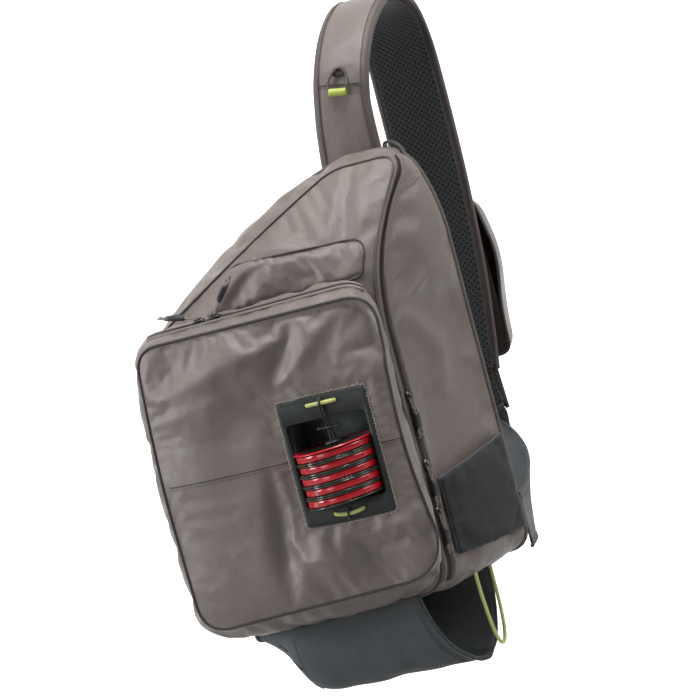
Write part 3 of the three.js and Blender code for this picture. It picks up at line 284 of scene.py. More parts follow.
def make_camera():
    sa, ca = math.sin(AZIMUTH), math.cos(AZIMUTH)
    se, ce = math.sin(ELEVATION), math.cos(ELEVATION)
    right = Vector((ca, sa, 0))
    up = Vector((-sa * se, ca * se, ce))
    ahead = Vector((-sa * ce, ca * ce, -se))
    x_axis = right * math.cos(ROLL) - up * math.sin(ROLL)
    y_axis = right * math.sin(ROLL) + up * math.cos(ROLL)
    data = bpy.data.cameras.new("camera")
    data.sensor_width = SENSOR
    data.lens = LENS
    data.clip_end = 60
    scene.camera = added("camera", data)
    turn = Matrix((x_axis, y_axis, -ahead)).transposed().to_4x4()
    scene.camera.matrix_world = Matrix.Translation(place(AIM) - ahead * DISTANCE) @ turn


make_camera()


# Materials: colours are given as they look on a screen, from 0 to 255

def srgb(color):
    shares = [c / 255 for c in color]
    return tuple(c / 12.92 if c <= 0.04045 else ((c + 0.055) / 1.055) ** 2.4 for c in shares) + (1.0,)


class Nodes:
    def __init__(self, name):
        self.material = bpy.data.materials.new(name)
        self.material.use_nodes = True
        self.tree = self.material.node_tree
        self.shader = self.tree.nodes["Principled BSDF"]
        self.coords = self.tree.nodes.new("ShaderNodeTexCoord").outputs

    def put(self, node, inputs):
        for key, value in inputs.items():
            if isinstance(value, bpy.types.NodeSocket):
                self.tree.links.new(value, node.inputs[key])
            elif value is not None:
                node.inputs[key].default_value = value
        return node

    def add(self, kind, inputs, **settings):
        node = self.tree.nodes.new(kind)
        for key, value in settings.items():
            setattr(node, key, value)
        return self.put(node, inputs)

    def noise(self, scale, detail=2.0, rough=0.5, distortion=0.0):
        inputs = {"Vector": self.coords["Object"], "Scale": scale, "Detail": detail, "Roughness": rough}
        return self.add("ShaderNodeTexNoise", {**inputs, "Distortion": distortion}).outputs["Fac"]

    def split(self, kind):
        return self.add("ShaderNodeSeparateXYZ", {0: self.coords[kind]}).outputs

    def math(self, operation, a, b=0.0):
        return self.add("ShaderNodeMath", {0: a, 1: b}, operation=operation).outputs[0]

    def ramp(self, value, low, high, low_out=0.0, high_out=1.0):
        return self.add("ShaderNodeMapRange", {0: value, 1: low, 2: high, 3: low_out, 4: high_out}).outputs[0]

    def mix(self, factor, a, b):
        return self.add("ShaderNodeMix", {0: factor, 6: a, 7: b}, data_type="RGBA").outputs[2]

    def blend(self, value, dark, light, low=0.3, high=0.7):
        return self.mix(self.ramp(value, low, high), srgb(dark), srgb(light))

    def bump(self, height, distance, strength=1.0, normal=None):
        inputs = {"Height": height, "Distance": distance, "Strength": strength, "Normal": normal}
        return self.add("ShaderNodeBump", inputs).outputs[0]

    def wave(self, operation, a, b, pace):
        return self.math("SINE", self.math("MULTIPLY", self.math(operation, a, b), pace))

    def weave(self, pitch):
        """Plain weave of two crossing thread waves; pitch is in metres."""
        x, y, z = self.split("Object")
        pace = 2 * math.pi / pitch
        return self.math("MULTIPLY", self.wave("ADD", x, y, pace), self.wave("ADD", z, y, pace))

    def finish(self, color, roughness, normal=None, **values):
        self.put(self.shader, {"Base Color": color, "Roughness": roughness, "Normal": normal})
        self.put(self.shader, {key.replace("_", " "): value for key, value in values.items()})
        return self.material


def cloth(name, light, dark, pitch=0.0011, crumple=0.0011, rough=0.5, sheen=0.15):
    n = Nodes(name)
    tone = n.math("ADD", n.math("MULTIPLY", n.noise(9, 3), 0.65), n.math("MULTIPLY", n.noise(420), 0.35))
    normal = n.bump(n.noise(13, 2, 0.5, 0.9), crumple * 4.5, 0.6)
    normal = n.bump(n.noise(38, 3, 0.55, 0.4), crumple, 0.6, normal)
    normal = n.bump(n.noise(130), crumple * 0.22, 0.5, normal)
    normal = n.bump(n.weave(pitch), pitch * 0.16, 0.35, normal)
    roughness = n.ramp(n.noise(60), 0.3, 0.7, rough - 0.06, rough + 0.08)
    return n.finish(n.blend(tone, dark, light), roughness, normal,
                    Sheen_Weight=sheen, Sheen_Roughness=0.4, Specular_IOR_Level=0.5)


def spacer(name, light, dark, pitch=5.8):
    """Knitted spacer mesh with rows of small diamond holes, laid out in millimetres by the UV map."""
    n = Nodes(name)
    x, y, _ = n.split("UV")
    rows = [n.wave(operation, x, y, math.pi / pitch) for operation in ("ADD", "SUBTRACT")]
    hole = n.ramp(n.math("ABSOLUTE", n.math("MULTIPLY", *rows)), 0.34, 0.5)
    thread = n.noise(900)
    # The holes are painted near black: painted shade inside the knit's holes.
    color = n.mix(hole, n.blend(thread, dark, light), (0.002, 0.002, 0.002, 1))
    normal = n.bump(n.math("SUBTRACT", 1.0, hole), 0.0009, 0.9)
    return n.finish(color, 0.85, n.bump(thread, 0.0003, 0.6, normal),
                    Sheen_Weight=0.25, Sheen_Roughness=0.5, Specular_IOR_Level=0.3)


def webbing(name, light, dark, pitch=0.0022):
    n = Nodes(name)
    normal = n.bump(n.noise(45), 0.0008, 0.5, n.bump(n.weave(pitch), 0.0004, 0.6))
    return n.finish(n.blend(n.noise(260, 3), dark, light), 0.78, normal,
                    Sheen_Weight=0.2, Sheen_Roughness=0.5, Specular_IOR_Level=0.35)


def moulded(name, light, dark, rough=0.4, grain=0.0002, scale=600, coat=0.0, metallic=0.0):
    n = Nodes(name)
    roughness = n.ramp(n.noise(90, 3), 0.3, 0.7, rough - 0.07, rough + 0.1)
    return n.finish(n.blend(n.noise(40, 3), dark, light, 0.35, 0.65), roughness,
                    n.bump(n.noise(scale, 3), grain, 0.5),
                    Coat_Weight=coat, Coat_Roughness=0.08, Metallic=metallic)


def cord_cover(name, light, dark, pitch=0.0016):
    n = Nodes(name)
    braid = n.weave(pitch)
    # The braid's hollows are painted darker than its ridges: painted shade between the strands.
    return n.finish(n.blend(braid, dark, light, -0.4, 0.7), 0.55, n.bump(braid, 0.0003, 0.8),
                    Sheen_Weight=0.15, Sheen_Roughness=0.4)


def tinted_clear(name, color):
    n = Nodes(name)
    clear = srgb(color)
    tone = n.mix(n.noise(25), clear, tuple(c * 0.7 for c in clear[:3]) + (1,))
    return n.finish(tone, 0.09, n.bump(n.noise(30), 0.0003, 0.2),
                    Transmission_Weight=0.55, IOR=1.49, Coat_Weight=0.4, Coat_Roughness=0.05)


nylon = cloth("nylon", (117, 107, 103), (102, 93, 89), rough=0.37, sheen=0.05)
nylon_dark = cloth("nylon_dark", (52, 47, 44), (41, 37, 34), rough=0.45, sheen=0.06)
nylon_edge = cloth("nylon_edge", (88, 80, 76), (74, 67, 63), rough=0.5, sheen=0.08)
charcoal = cloth("charcoal", (76, 81, 84), (64, 68, 71), pitch=0.0016, rough=0.7, sheen=0.06)
felt = cloth("felt", (47, 49, 50), (31, 33, 34), pitch=0.0009, crumple=0.0006, rough=0.9, sheen=0.08)
mesh_knit = spacer("mesh_knit", (52, 55, 57), (29, 31, 33))
band = webbing("band", (62, 66, 69), (46, 50, 53))
tape = webbing("tape", (86, 76, 71), (72, 63, 59), pitch=0.0014)
thread_dark = moulded("thread_dark", (78, 71, 66), (64, 58, 54), rough=0.6)
thread_pale = moulded("thread_pale", (186, 182, 172), (160, 156, 148), rough=0.6)
hypalon = moulded("hypalon", (33, 39, 39), (26, 31, 31), rough=0.6, grain=0.0004, scale=380)
tray_grey = moulded("tray_grey", (96, 108, 110), (82, 93, 95), rough=0.5, grain=0.0004, scale=300)
tray_black = moulded("tray_black", (34, 42, 43), (22, 27, 28), rough=0.6, grain=0.0004, scale=300)
plastic = moulded("plastic", (50, 50, 54), (34, 34, 37), rough=0.35, coat=0.1)
metal = moulded("metal", (92, 90, 90), (58, 57, 58), rough=0.3, metallic=0.85)
coil = moulded("coil", (60, 53, 49), (44, 39, 36), rough=0.4)
red = moulded("red", (196, 10, 34), (170, 7, 27), rough=0.22, grain=0.0001, coat=0.6)
smoke = tinted_clear("smoke", (74, 82, 66))
lime = cord_cover("lime", (216, 222, 140), (180, 188, 100))
lime_grip = moulded("lime_grip", (172, 184, 88), (152, 165, 72), rough=0.45, grain=0.0003, scale=500)
black_cord = cord_cover("black_cord", (48, 49, 52), (26, 27, 29))
brown_cord = cord_cover("brown_cord", (96, 88, 82), (66, 60, 56))
pale_cord = cord_cover("pale_cord", (150, 142, 132), (96, 90, 84))


# Mesh helpers: a shape is a list of points in drawing millimetres and a list of faces

def skinned(rings, closed=True, looped=False, capped=False, flipped=False):
    """Quads between rings; closed joins a ring's own ends, looped joins the last ring to the first."""
    sides = len(rings[0])
    verts = [point for ring in rings for point in ring]
    faces = []
    for i in range(len(rings) if looped else len(rings) - 1):
        here, after = i * sides, (i + 1) % len(rings) * sides
        for k in range(sides if closed else sides - 1):
            m = (k + 1) % sides
            a, b, c, d = here + k, here + m, after + m, after + k
            faces.append((a, d, c, b) if flipped else (a, b, c, d))
    if capped:
        faces += [tuple(range(sides - 1, -1, -1)), tuple(range(len(verts) - sides, len(verts)))]
    return verts, faces


def grid(surface, us, vs, loop=False):
    return skinned([[surface(u, v) for v in vs] for u in us], False, loop, flipped=True)


def merged(parts):
    verts, faces = [], []
    for part_verts, part_faces in parts:
        base = len(verts)
        verts.extend(part_verts)
        faces.extend(tuple(i + base for i in face) for face in part_faces)
    return verts, faces


def inside(loop, spot):
    hit = False
    for a, b in zip(loop, loop[1:] + loop[:1]):
        if (a.y > spot.y) != (b.y > spot.y):
            if spot.x < (b.x - a.x) * (spot.y - a.y) / (b.y - a.y) + a.x:
                hit = not hit
    return hit


def filled(outline, height, spacing, rim_step):
    """Even triangles inside an outline, and how many of their points lie on its rim."""
    rim = []
    u = 0.0
    while u < outline.count:
        here = outline.at(u)
        rim.append(here)
        step = 0.25
        while (outline.at(u + step) - here).length < rim_step:
            step += 0.05
        u += step
    if (rim[-1] - rim[0]).length < rim_step * 0.6:
        rim.pop()
    left, right = min(p.x for p in rim), max(p.x for p in rim)
    top = max(p.y for p in rim)
    inner = []
    row = 0
    z = min(p.y for p in rim)
    while z < top:
        x = left + (row % 2) * spacing / 2
        while x < right:
            spot = Vector((x, z))
            if min((spot - p).length for p in rim) > spacing * 0.6 and inside(rim, spot):
                inner.append(spot)
            x += spacing
        z += spacing * 0.866
        row += 1
    edges = [(i, (i + 1) % len(rim)) for i in range(len(rim))]
    flat, _, faces, _, _, _ = delaunay_2d_cdt(rim + inner, edges, [], 1, 1e-4)
    placed = [Vector((p.x, height(p.x, p.y), p.y)) for p in flat]
    return (placed, [tuple(f) for f in faces]), range(len(rim))


def hoop(centre, right, up, count):
    return [centre + right * math.cos(a) + up * math.sin(a) for a in turns(count)]


def tube(points, radius, sides=8, closed=False, level=DEEP):
    """Round tube along points; radius is a number or a list with one for each point."""
    last = len(points) - 1
    rings = []
    for i, point in enumerate(points):
        before = points[i - 1] if closed or i > 0 else point
        after = points[(i + 1) % len(points)] if closed or i < last else point
        along = (after - before).normalized()
        out = along.cross(level).normalized()
        thick = radius[i] if isinstance(radius, list) else radius
        rings.append(hoop(point, out * thick, out.cross(along) * thick, sides))
    return skinned(rings, looped=closed, capped=not closed)


def lathe(rows, centre, sides=64, looped=True):
    """Turned shape about a vertical line; rows are radius and height."""
    rings = [hoop(centre + UP * z, ACROSS * radius, DEEP * radius, sides) for radius, z in rows]
    return skinned(rings, looped=looped, flipped=True)


def rounded(count, power):
    """Points round a square of half size 1 with soft corners."""
    corners = [(math.cos(a), math.sin(a)) for a in turns(count)]
    return [tuple(math.copysign(abs(x) ** power, x) for x in pair) for pair in corners]


def bar(start, along, out, rows):
    """Low moulded bar; rows hold the place along it, the width and the height."""
    across = out.cross(along).normalized()
    rings = []
    for down, wide, thick in rows:
        middle = start + along * down + out * thick / 2
        rings.append([middle + across * x * wide / 2 + out * z * thick / 2 for x, z in rounded(16, 0.62)])
    return skinned(rings, capped=True)


def catmull(points, t):
    """Centripetal curve through the points, t from 0 to 1 over all of them."""
    last = len(points) - 1
    spot = min(max(t, 0.0), 1.0) * last
    i = min(int(spot), last - 1)
    w = spot - i
    p1, p2 = points[i], points[i + 1]
    p0 = points[i - 1] if i > 0 else p1 * 2 - p2
    p3 = points[i + 2] if i + 2 <= last else p2 * 2 - p1
    d0, d1, d2 = (max((b - a).length_squared ** 0.25, 1e-4) for a, b in ((p0, p1), (p1, p2), (p2, p3)))
    m1 = ((p1 - p0) / d0 - (p2 - p0) / (d0 + d1) + (p2 - p1) / d1) * d1
    m2 = ((p2 - p1) / d1 - (p3 - p1) / (d1 + d2) + (p3 - p2) / d2) * d1
    return p1 + m1 * w + (p2 * 3 - p1 * 3 - m1 * 2 - m2) * w * w + (p1 * 2 - p2 * 2 + m1 + m2) * w ** 3


def curved(points, count):
    return [catmull(points, t) for t in steps(0, 1, count)]


def relaxed(shape, fixed, rounds=1, share=0.5):
    verts, faces = shape
    near = [set() for _ in verts]
    for face in faces:
        for a, b in zip(face, face[1:] + face[:1]):
            near[a].add(b)
            near[b].add(a)
    for _ in range(rounds):
        verts = [v if i in fixed else v.lerp(sum((verts[k] for k in near[i]), Vector()) / len(near[i]), share)
                 for i, v in enumerate(verts)]
    return verts, faces


def rumple(point, size, high):
    """Soft creases at a point in drawing millimetres."""
    spot = point / size
    return (noise.noise(spot) + 0.5 * noise.noise(spot * 2.1 + Vector((7, 3, 5)))) * high


def even_us(surface, u_from, u_to, step):
    """Values of u about a step apart along surface(u)."""
    us, u = [u_from], u_from
    while u < u_to:
        here, reach = surface(u), 0.02
        while (surface(u + reach) - here).length < step and u + reach < u_to:
            reach += 0.02
        u += reach
        us.append(min(u, u_to))
    if len(us) > 2 and us[-1] - us[-2] < 0.4 * (us[-2] - us[-3]):
        us.pop(-2)
    return us


def surface_normal(surface, u, v):
    along = (surface(u + 0.2, v) - surface(u - 0.2, v)).normalized()
    ahead = (surface(u, v + 0.02) - surface(u, v - 0.02)).normalized()
    return ahead.cross(along).normalized(), along, ahead


def lifted(surface, u, v, lift):
    return surface(u, v) + surface_normal(surface, u, v)[0] * lift


class Skin:
    """A finished skin that seams and stitches are laid on."""

    def __init__(self, shape):
        self.tree = BVHTree.FromPolygons(*shape)

    def seat(self, point, lift):
        spot, normal, _, _ = self.tree.find_nearest(point)
        return spot + normal * math.copysign(lift, normal.dot(point - spot))

    def front(self, x, z, y):
        """The skin's point at x and z as seen from the front, or y where there is none."""
        return self.tree.ray_cast(Vector((x, y - 40, z)), DEEP)[0] or Vector((x, y, z))


# Pieces

def piece(name, shape, material, node=None, fine=False, uv=None, wall=0.0):
    verts, faces = shape
    mesh = bpy.data.meshes.new(name)
    mesh.from_pydata([place(v) for v in verts], [], faces)
    mesh.validate()
    if uv:
        layer = mesh.uv_layers.new(name="UVMap")
        for loop in mesh.loops:
            layer.data[loop.index].uv = uv[loop.vertex_index]
    thing = added(name, mesh)
    mesh.materials.append(material)
    mesh.shade_smooth()
    if wall:
        shell = thing.modifiers.new("wall", "SOLIDIFY")
        shell.thickness = wall / 1000
        shell.offset = -1
    if fine:
        finer = thing.modifiers.new("finer", "SUBSURF")
        finer.levels = finer.render_levels = 1
    if wall or fine:
        graph = bpy.context.evaluated_depsgraph_get()
        thing.data = bpy.data.meshes.new_from_object(thing.evaluated_get(graph))
        thing.modifiers.clear()
        bpy.data.meshes.remove(mesh)
        thing.data.name = name
    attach(thing, "root")
    if node:
        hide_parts(node)
    return thing


# Simulated cloth: pinned at its rim, slightly too large for its frame, so it buckles
FRAMES = 18
CLOTH_SETTINGS = {
    "quality": 4, "mass": 0.15, "tension_stiffness": 8.0, "compression_stiffness": 8.0,
    "shear_stiffness": 4.8, "bending_stiffness": 0.4, "vertex_group_mass": "pin", "use_pressure": True,
}


def buckled(shape, pinned, slack, cap, push=0.5):
    verts, faces = shape
    mesh = bpy.data.meshes.new("trial")
    mesh.from_pydata([place(v) for v in verts], [], faces)
    thing = added("trial", mesh)
    thing.vertex_groups.new(name="pin").add(sorted(pinned), 1.0, "REPLACE")
    modifier = thing.modifiers.new("cloth", "CLOTH")
    for key, value in CLOTH_SETTINGS.items():
        setattr(modifier.settings, key, value)
    modifier.settings.shrink_min = -slack
    modifier.settings.uniform_pressure_force = push
    modifier.settings.effector_weights.gravity = 0
    modifier.collision_settings.use_collision = False
    modifier.point_cache.frame_end = FRAMES
    for number in range(1, FRAMES + 1):
        scene.frame_set(number)
    result = thing.evaluated_get(bpy.context.evaluated_depsgraph_get()).to_mesh()
    moved = []
    for start, vertex in zip(verts, result.vertices):
        shift = drawn(vertex.co) - start
        if shift.length > cap:
            shift *= cap / shift.length
        moved.append(start + shift)
    bpy.data.objects.remove(thing)
    bpy.data.meshes.remove(mesh)
    scene.frame_set(1)
    return moved, faces


def edge_pins(us, vs, ends=True):
    """Indices of a grid's points at both ends of v, and at both ends of u too if ends is set."""
    return {i * len(vs) + j for i in range(len(us)) for j in range(len(vs))
            if j in (0, len(vs) - 1) or ends and i in (0, len(us) - 1)}


# Stitches

def resampled(points, step, closed=False):
    chain = points + points[:1] if closed else points
    lengths = [0.0]
    for a, b in zip(chain, chain[1:]):
        lengths.append(lengths[-1] + (b - a).length)
    count = max(int(lengths[-1] / step), 1)
    out, k = [], 0
    for i in range(count if closed else count + 1):
        want = lengths[-1] * i / count
        while k < len(lengths) - 2 and lengths[k + 1] < want:
            k += 1
        span = lengths[k + 1] - lengths[k]
        out.append(chain[k].lerp(chain[k + 1], (want - lengths[k]) / span if span else 0))
    return out


def stitches(points, kind, closed=False, slant=None):
    """Short threads along a line; slant is a direction for zigzag stitches."""
    pitch, length, radius = kind
    radii = [radius * (0.45 + 0.55 * math.sin(math.pi * t)) for t in (0.12, 1 / 3, 2 / 3, 0.88)]
    level = Vector((0.3, 0.5, 0.8)).normalized()
    parts = []
    spots = resampled(points, pitch, closed)
    for i, spot in enumerate(spots[:-1]):
        along = (spots[i + 1] - spot).normalized()
        if slant:
            along = (along + slant(spot) * (1 if i % 2 else -1)).normalized()
        ends = [spot + along * length * share for share in (-0.5, -0.25, 0.25, 0.5)]
        parts.append(tube(ends, radii, 5, level=level))
    return merged(parts)


def stitched(name, lines, kind, slot="nylon", thread=thread_dark, **options):
    piece(name, merged([stitches(line, kind, **options) for line in lines]), thread)


# The free cord of the sleeve comes first, as long as its route
bottle_line = curved([Vector(p) for p in BOTTLE_CORD_POINTS], 72)
bottle_length = sum((b - a).length for a, b in zip(bottle_line, bottle_line[1:])) / 1000
bottle_shape = tube(bottle_line, CORD_RADIUS, 12, level=ACROSS)
bottle_cord = piece("bottle_cord_soft", bottle_shape, lime, "bottle_cord")
place(bottle_line[0])
[place(p) for p in bottle_line]


# Body
TOP_RIGHT, LOWER_RIGHT = ROUND / 2, 2 * CORNER + ROUND / 2
FULL_TURN = back_outline.count


def body_front_y(x, z):
    deep = smooth(DEPTH_ROWS, z / BODY_HEIGHT)
    return -BODY_DEPTH * (deep + fold_rise(BODY_FOLDS, x, z, BODY_WIDTH, BODY_HEIGHT))


def band_point(u, v):
    front = front_outline.at(u)
    spot = back_outline.at(u).lerp(front, v) + front_outline.outward(u) * BODY_PUFF * math.sin(math.pi * v)
    return Vector((spot.x, body_front_y(front.x, front.y) * v, spot.y))


def band_share(u, from_front):
    return 1 - from_front / (band_point(u, 1) - band_point(u, 0)).length


def side_point(u, t):
    return band_point(u, band_share(u, SEAM + ZIP_BAND) * t)


def front_edge(u):
    return band_point(u, 1)


def make_body():
    for name, surface, u_from, u_to, step, rows, slack, cap in (
            ("left_gusset", band_point, LOWER_RIGHT, FULL_TURN + TOP_RIGHT, 6, 17, 0.035, 5),
            ("side_panel", side_point, TOP_RIGHT, LOWER_RIGHT, 5, 16, 0.025, 4)):
        us, vs = even_us(front_edge, u_from, u_to, step), steps(0, 1, rows)
        shape = buckled(grid(surface, us, vs), edge_pins(us, vs), slack, cap)
        piece(name + "_soft", shape, nylon, node=name, fine=True)
    shape = buckled(*filled(front_outline, body_front_y, 7, 6), slack=0.03, cap=6)
    piece("front_panel_soft", shape, nylon, node="front_panel", fine=True)
    return Skin(shape)


body_skin = make_body()


# Zips: share(u, away) is the place on a band at a distance from the zip's middle
TAPE_ROWS = [(-1, -0.6), (-0.55, 0.4), (0, 0.7), (0.55, 0.4), (1, -0.6)]
TOOTH_STEP, TOOTH_REACH, TOOTH_RADIUS = 0.75, 1.5, 0.55


def middle_normal(surface, us, share, away=0.0):
    u = us[len(us) // 2]
    return surface_normal(surface, u, share(u, away))[0]


def welt(name, surface, us, share, away, lift, radius):
    """Rolled cloth edge beside a zip."""
    points = [lifted(surface, u, share(u, away), lift) for u in us]
    piece(name, tube(points, radius, level=middle_normal(surface, us, share, away)), nylon)


def zipper(name, surface, us, share, width, lift):
    """Tape and coil of a zip."""
    rows, run = [], []
    for u in us:
        out, _, ahead = surface_normal(surface, u, share(u, 0))
        centre = surface(u, share(u, 0))
        rows.append([centre + ahead * side * width / 2 + out * (lift + high) for side, high in TAPE_ROWS])
        run.append(centre + out * (lift + 1.0))
    piece(name + "_tape", skinned(rows, False, flipped=True), tape, name)
    teeth = []
    for i, centre in enumerate(resampled(run, TOOTH_STEP)[:-1]):
        nearest = us[min(range(len(run)), key=lambda k: (run[k] - centre).length_squared)]
        out, _, ahead = surface_normal(surface, nearest, share(nearest, 0))
        teeth.append(centre + ahead * (1 if i % 2 else -1) * TOOTH_REACH - out * 0.3)
    level = middle_normal(surface, us, share)
    piece(name + "_coil", tube(teeth, TOOTH_RADIUS, 5, level=level), coil)


def make_main_zip():
    def share(u, away):
        return band_share(u, SEAM + ZIP_BAND / 2 + away)
    us = even_us(front_edge, TOP_RIGHT + 0.05, LOWER_RIGHT - 0.05, 4)
    zipper("main_zip", band_point, us, share, 7.4, 0.6)
    for name, away in (("zip_welt_rear", 5.4), ("zip_welt_front", -5.4)):
        welt(name, band_point, us, share, away, -0.5, 2.3)
        line = [lifted(band_point, u, share(u, away), 1.75) for u in us]
        stitched(name + "_stitch", [line], ZIP_STITCH)


def make_front_seam():
    points = []
    for u in even_us(front_edge, 0, FULL_TURN, 5)[:-1]:
        rim = front_outline.at(u) + front_outline.outward(u) * 0.6
        points.append(Vector((rim.x, band_point(u, 1).y - 0.4, rim.y)))
    piece("front_seam", tube(points, 1.0, closed=True), nylon_edge)


# Padded back of spacer mesh with sewn channels, four across and one upright
PAD_CHANNELS = [(70, 2), (140, 2), (210, 2), (290, 2), (145, 0)]
CHANNEL_DEPTH, CHANNEL_WIDTH = 3.6, 5


def make_back_panel():
    (start, faces), rim = filled(back_outline, lambda x, z: BACK_PAD, 7, 6)
    loop = [start[i].xz for i in rim]
    verts = []
    for i, v in enumerate(start):
        edge = min((v.xz - p).length for p in loop)
        rise = 5.5 + 5.5 * smoothstep(edge, 0, 16)
        for at, axis in PAD_CHANNELS:
            away = (v[axis] - at) / CHANNEL_WIDTH
            rise -= CHANNEL_DEPTH * math.exp(-away ** 2) * smoothstep(edge, 6, 20)
        verts.append(Vector((v.x, 1.0 if i in rim else rise, v.z)))
    shape = relaxed((verts, faces), rim, 1, 0.3)
    uv = [tuple(v.xz) for v in shape[0]]
    pad = piece("back_panel_soft", shape, mesh_knit, "back_panel", fine=True, uv=uv)
    points = [Vector((p.x, 1.6, p.y)) for p in loop]
    piece("back_binding", tube(points, 2.4, closed=True), nylon_edge)


make_main_zip()
make_front_seam()
make_back_panel()


# Front pocket, with a zip along its top band
FACE_Y = -BODY_DEPTH - POCKET_DEPTH
DOCK_Y = FACE_Y - DOCK_RISE
WINDOW_X, WINDOW_Z = WINDOW_LEFT + WINDOW_WIDTH / 2, WINDOW_TOP - WINDOW_HEIGHT / 2
TRAY_LEFT, TRAY_RIGHT = WINDOW_LEFT + FRAME_SIDE, WINDOW_LEFT + WINDOW_WIDTH - FRAME_SIDE
TRAY_TOP, TRAY_BOTTOM = WINDOW_TOP - FRAME_TOP, WINDOW_TOP - WINDOW_HEIGHT + FRAME_BOTTOM
ZIP_FROM, ZIP_TO, ZIP_MIDDLE = ROUND - 1, CORNER + 2, 0.55


def face_y(x, z):
    aside = min(abs((x - POCKET_LEFT) / POCKET_WIDTH - 0.5) * 2, 1)
    above = min(abs((z - POCKET_BOTTOM) / POCKET_HEIGHT - 0.5) * 2, 1)
    fade = (1 - aside ** 3) * (1 - above ** 3)
    folds = fold_rise(FACE_FOLDS, x, z, POCKET_WIDTH, POCKET_HEIGHT, POCKET_LEFT, POCKET_BOTTOM)
    crowned = FACE_Y - (POCKET_CROWN + folds * POCKET_DEPTH) * fade
    beside_x = max(abs(x - WINDOW_X) - WINDOW_WIDTH / 2 - DOCK_MARGIN, 0)
    beside_z = max(abs(z - WINDOW_Z) - WINDOW_HEIGHT / 2 - DOCK_MARGIN, 0)
    return lerp(DOCK_Y, crowned, smoothstep(math.hypot(beside_x, beside_z), 0, DOCK_BLEND))


def pocket_point(u, v):
    base, face = base_outline.at(u), face_outline.at(u)
    base_y = body_front_y(base.x, base.y) - POCKET_LIFT
    spot = base.lerp(face, v) + face_outline.outward(u) * POCKET_PUFF * math.sin(math.pi * v)
    return Vector((spot.x, base_y + (face_y(face.x, face.y) - base_y) * v, spot.y))


def pocket_edge(u):
    return pocket_point(u, 1)


def in_window(x, z, margin):
    return (TRAY_LEFT - margin < x < TRAY_RIGHT + margin) and (TRAY_BOTTOM - margin < z < TRAY_TOP + margin)


def make_pocket():
    us, vs = even_us(pocket_edge, 0, face_outline.count, 5)[:-1], steps(0, 1, 12)
    pins = edge_pins(us, vs, ends=False)
    for i, u in enumerate(us):
        for j, v in enumerate(vs):
            if ZIP_FROM - 0.3 < u < ZIP_TO + 0.3 and abs(v - ZIP_MIDDLE) < 0.13:
                pins.add(i * len(vs) + j)
    gusset = buckled(grid(pocket_point, us, vs, loop=True), pins, slack=0.06, cap=5)
    piece("pocket_gusset_soft", gusset, nylon, node="pocket_gusset", fine=True)

    panel, rim = filled(face_outline, face_y, 5, 5)
    pins = set(rim)
    for i, v in enumerate(panel[0]):
        if abs(v.x - WINDOW_X) < WINDOW_WIDTH / 2 + 1 and abs(v.z - WINDOW_Z) < WINDOW_HEIGHT / 2 + 1:
            pins.add(i)
    verts, faces = buckled(panel, pins, slack=0.032, cap=7)
    # The lower left of the face is calm in the photograph
    for i, (start, moved) in enumerate(zip(panel[0], verts)):
        calm = smoothstep(165 - start.x, 0, 60) * smoothstep(220 - start.z, 0, 40)
        verts[i] = moved.lerp(start, 0.75 * calm)
    middles = [sum((verts[i] for i in face), Vector()) / len(face) for face in faces]
    kept = [face for face, middle in zip(faces, middles) if not in_window(middle.x, middle.z, 1.0)]
    piece("pocket_face_soft", (verts, kept), nylon, node="pocket_face", fine=True)
    return Skin(gusset), Skin((verts, faces))


gusset_skin, face_skin = make_pocket()


def make_piping():
    us = even_us(pocket_edge, 0, face_outline.count, 4)[:-1]
    points = []
    for u in us:
        rim, out = face_outline.at(u), face_outline.outward(u) * 0.9
        points.append(Vector((rim.x + out.x, face_y(rim.x, rim.y) + 0.4, rim.y + out.y)))
    piece("face_piping_soft", tube(points, PIPING_RADIUS, 10, True), nylon_dark, node="face_piping")
    base = [pocket_point(u, 0) for u in us]
    piece("pocket_base_seam", tube(base, 1.5, closed=True), nylon_dark)


def surface_seam(name, ends, skin, height, side=-2.6):
    """Lapped seam across a skin: a sunk roll with a row of stitches beside it."""
    a, b = (Vector(p) for p in ends)
    across = (b - a).normalized()
    flat = [a.lerp(b, t) for t in steps(0, 1, max(int((b - a).length / 4), 2))]

    def seated(shift, lift):
        spots = [(p.x - across.y * shift, p.y + across.x * shift) for p in flat]
        return [skin.front(x, z, height(x, z)) - DEEP * lift for x, z in spots]
    piece(name, tube(seated(0, -0.1), 0.55), nylon_dark)
    stitched(name + "_stitch", [seated(side, 0.2)], SEAM_STITCH)


def make_pocket_zip():
    def share(u, away):
        return ZIP_MIDDLE + away / (pocket_point(u, 1) - pocket_point(u, 0)).length
    us = even_us(lambda u: pocket_point(u, ZIP_MIDDLE), ZIP_FROM, ZIP_TO, 4)
    zipper("pocket_zip", pocket_point, us, share, 7, 1.2)
    for name, away in (("pocket_welt_rear", -5.2), ("pocket_welt_front", 5.2)):
        welt(name, pocket_point, us, share, away, 0.9, 1.9)
        line = [gusset_skin.seat(lifted(pocket_point, u, share(u, away * 1.8), 4), 0.3) for u in us]
        stitched(name + "_stitch", [line], POCKET_STITCH, thread=thread_pale)


def make_upper_pocket():
    share = upper_outline.share()

    def height(x, z):
        return body_front_y(x, z) - UPPER_LIFT - UPPER_CROWN * math.sqrt(max(1 - share(x, z) ** 8, 0))
    panel, pins = filled(upper_outline, height, 4, 4)
    shape = buckled(panel, pins, slack=0.03, cap=3)
    piece("upper_pocket_soft", shape, nylon, node="upper_pocket", fine=True)
    rim = [body_skin.seat(shape[0][i] - DEEP * 4, 0.4) for i in pins]
    piece("upper_pocket_seam", tube(rim, 1.0, closed=True), nylon_dark)


make_piping()
surface_seam("face_seam_left", [(36, 154.5), (153.5, 155.5)], face_skin, face_y)
surface_seam("face_seam_right", [(237, 155), (257, 155)], face_skin, face_y)
make_pocket_zip()
make_upper_pocket()


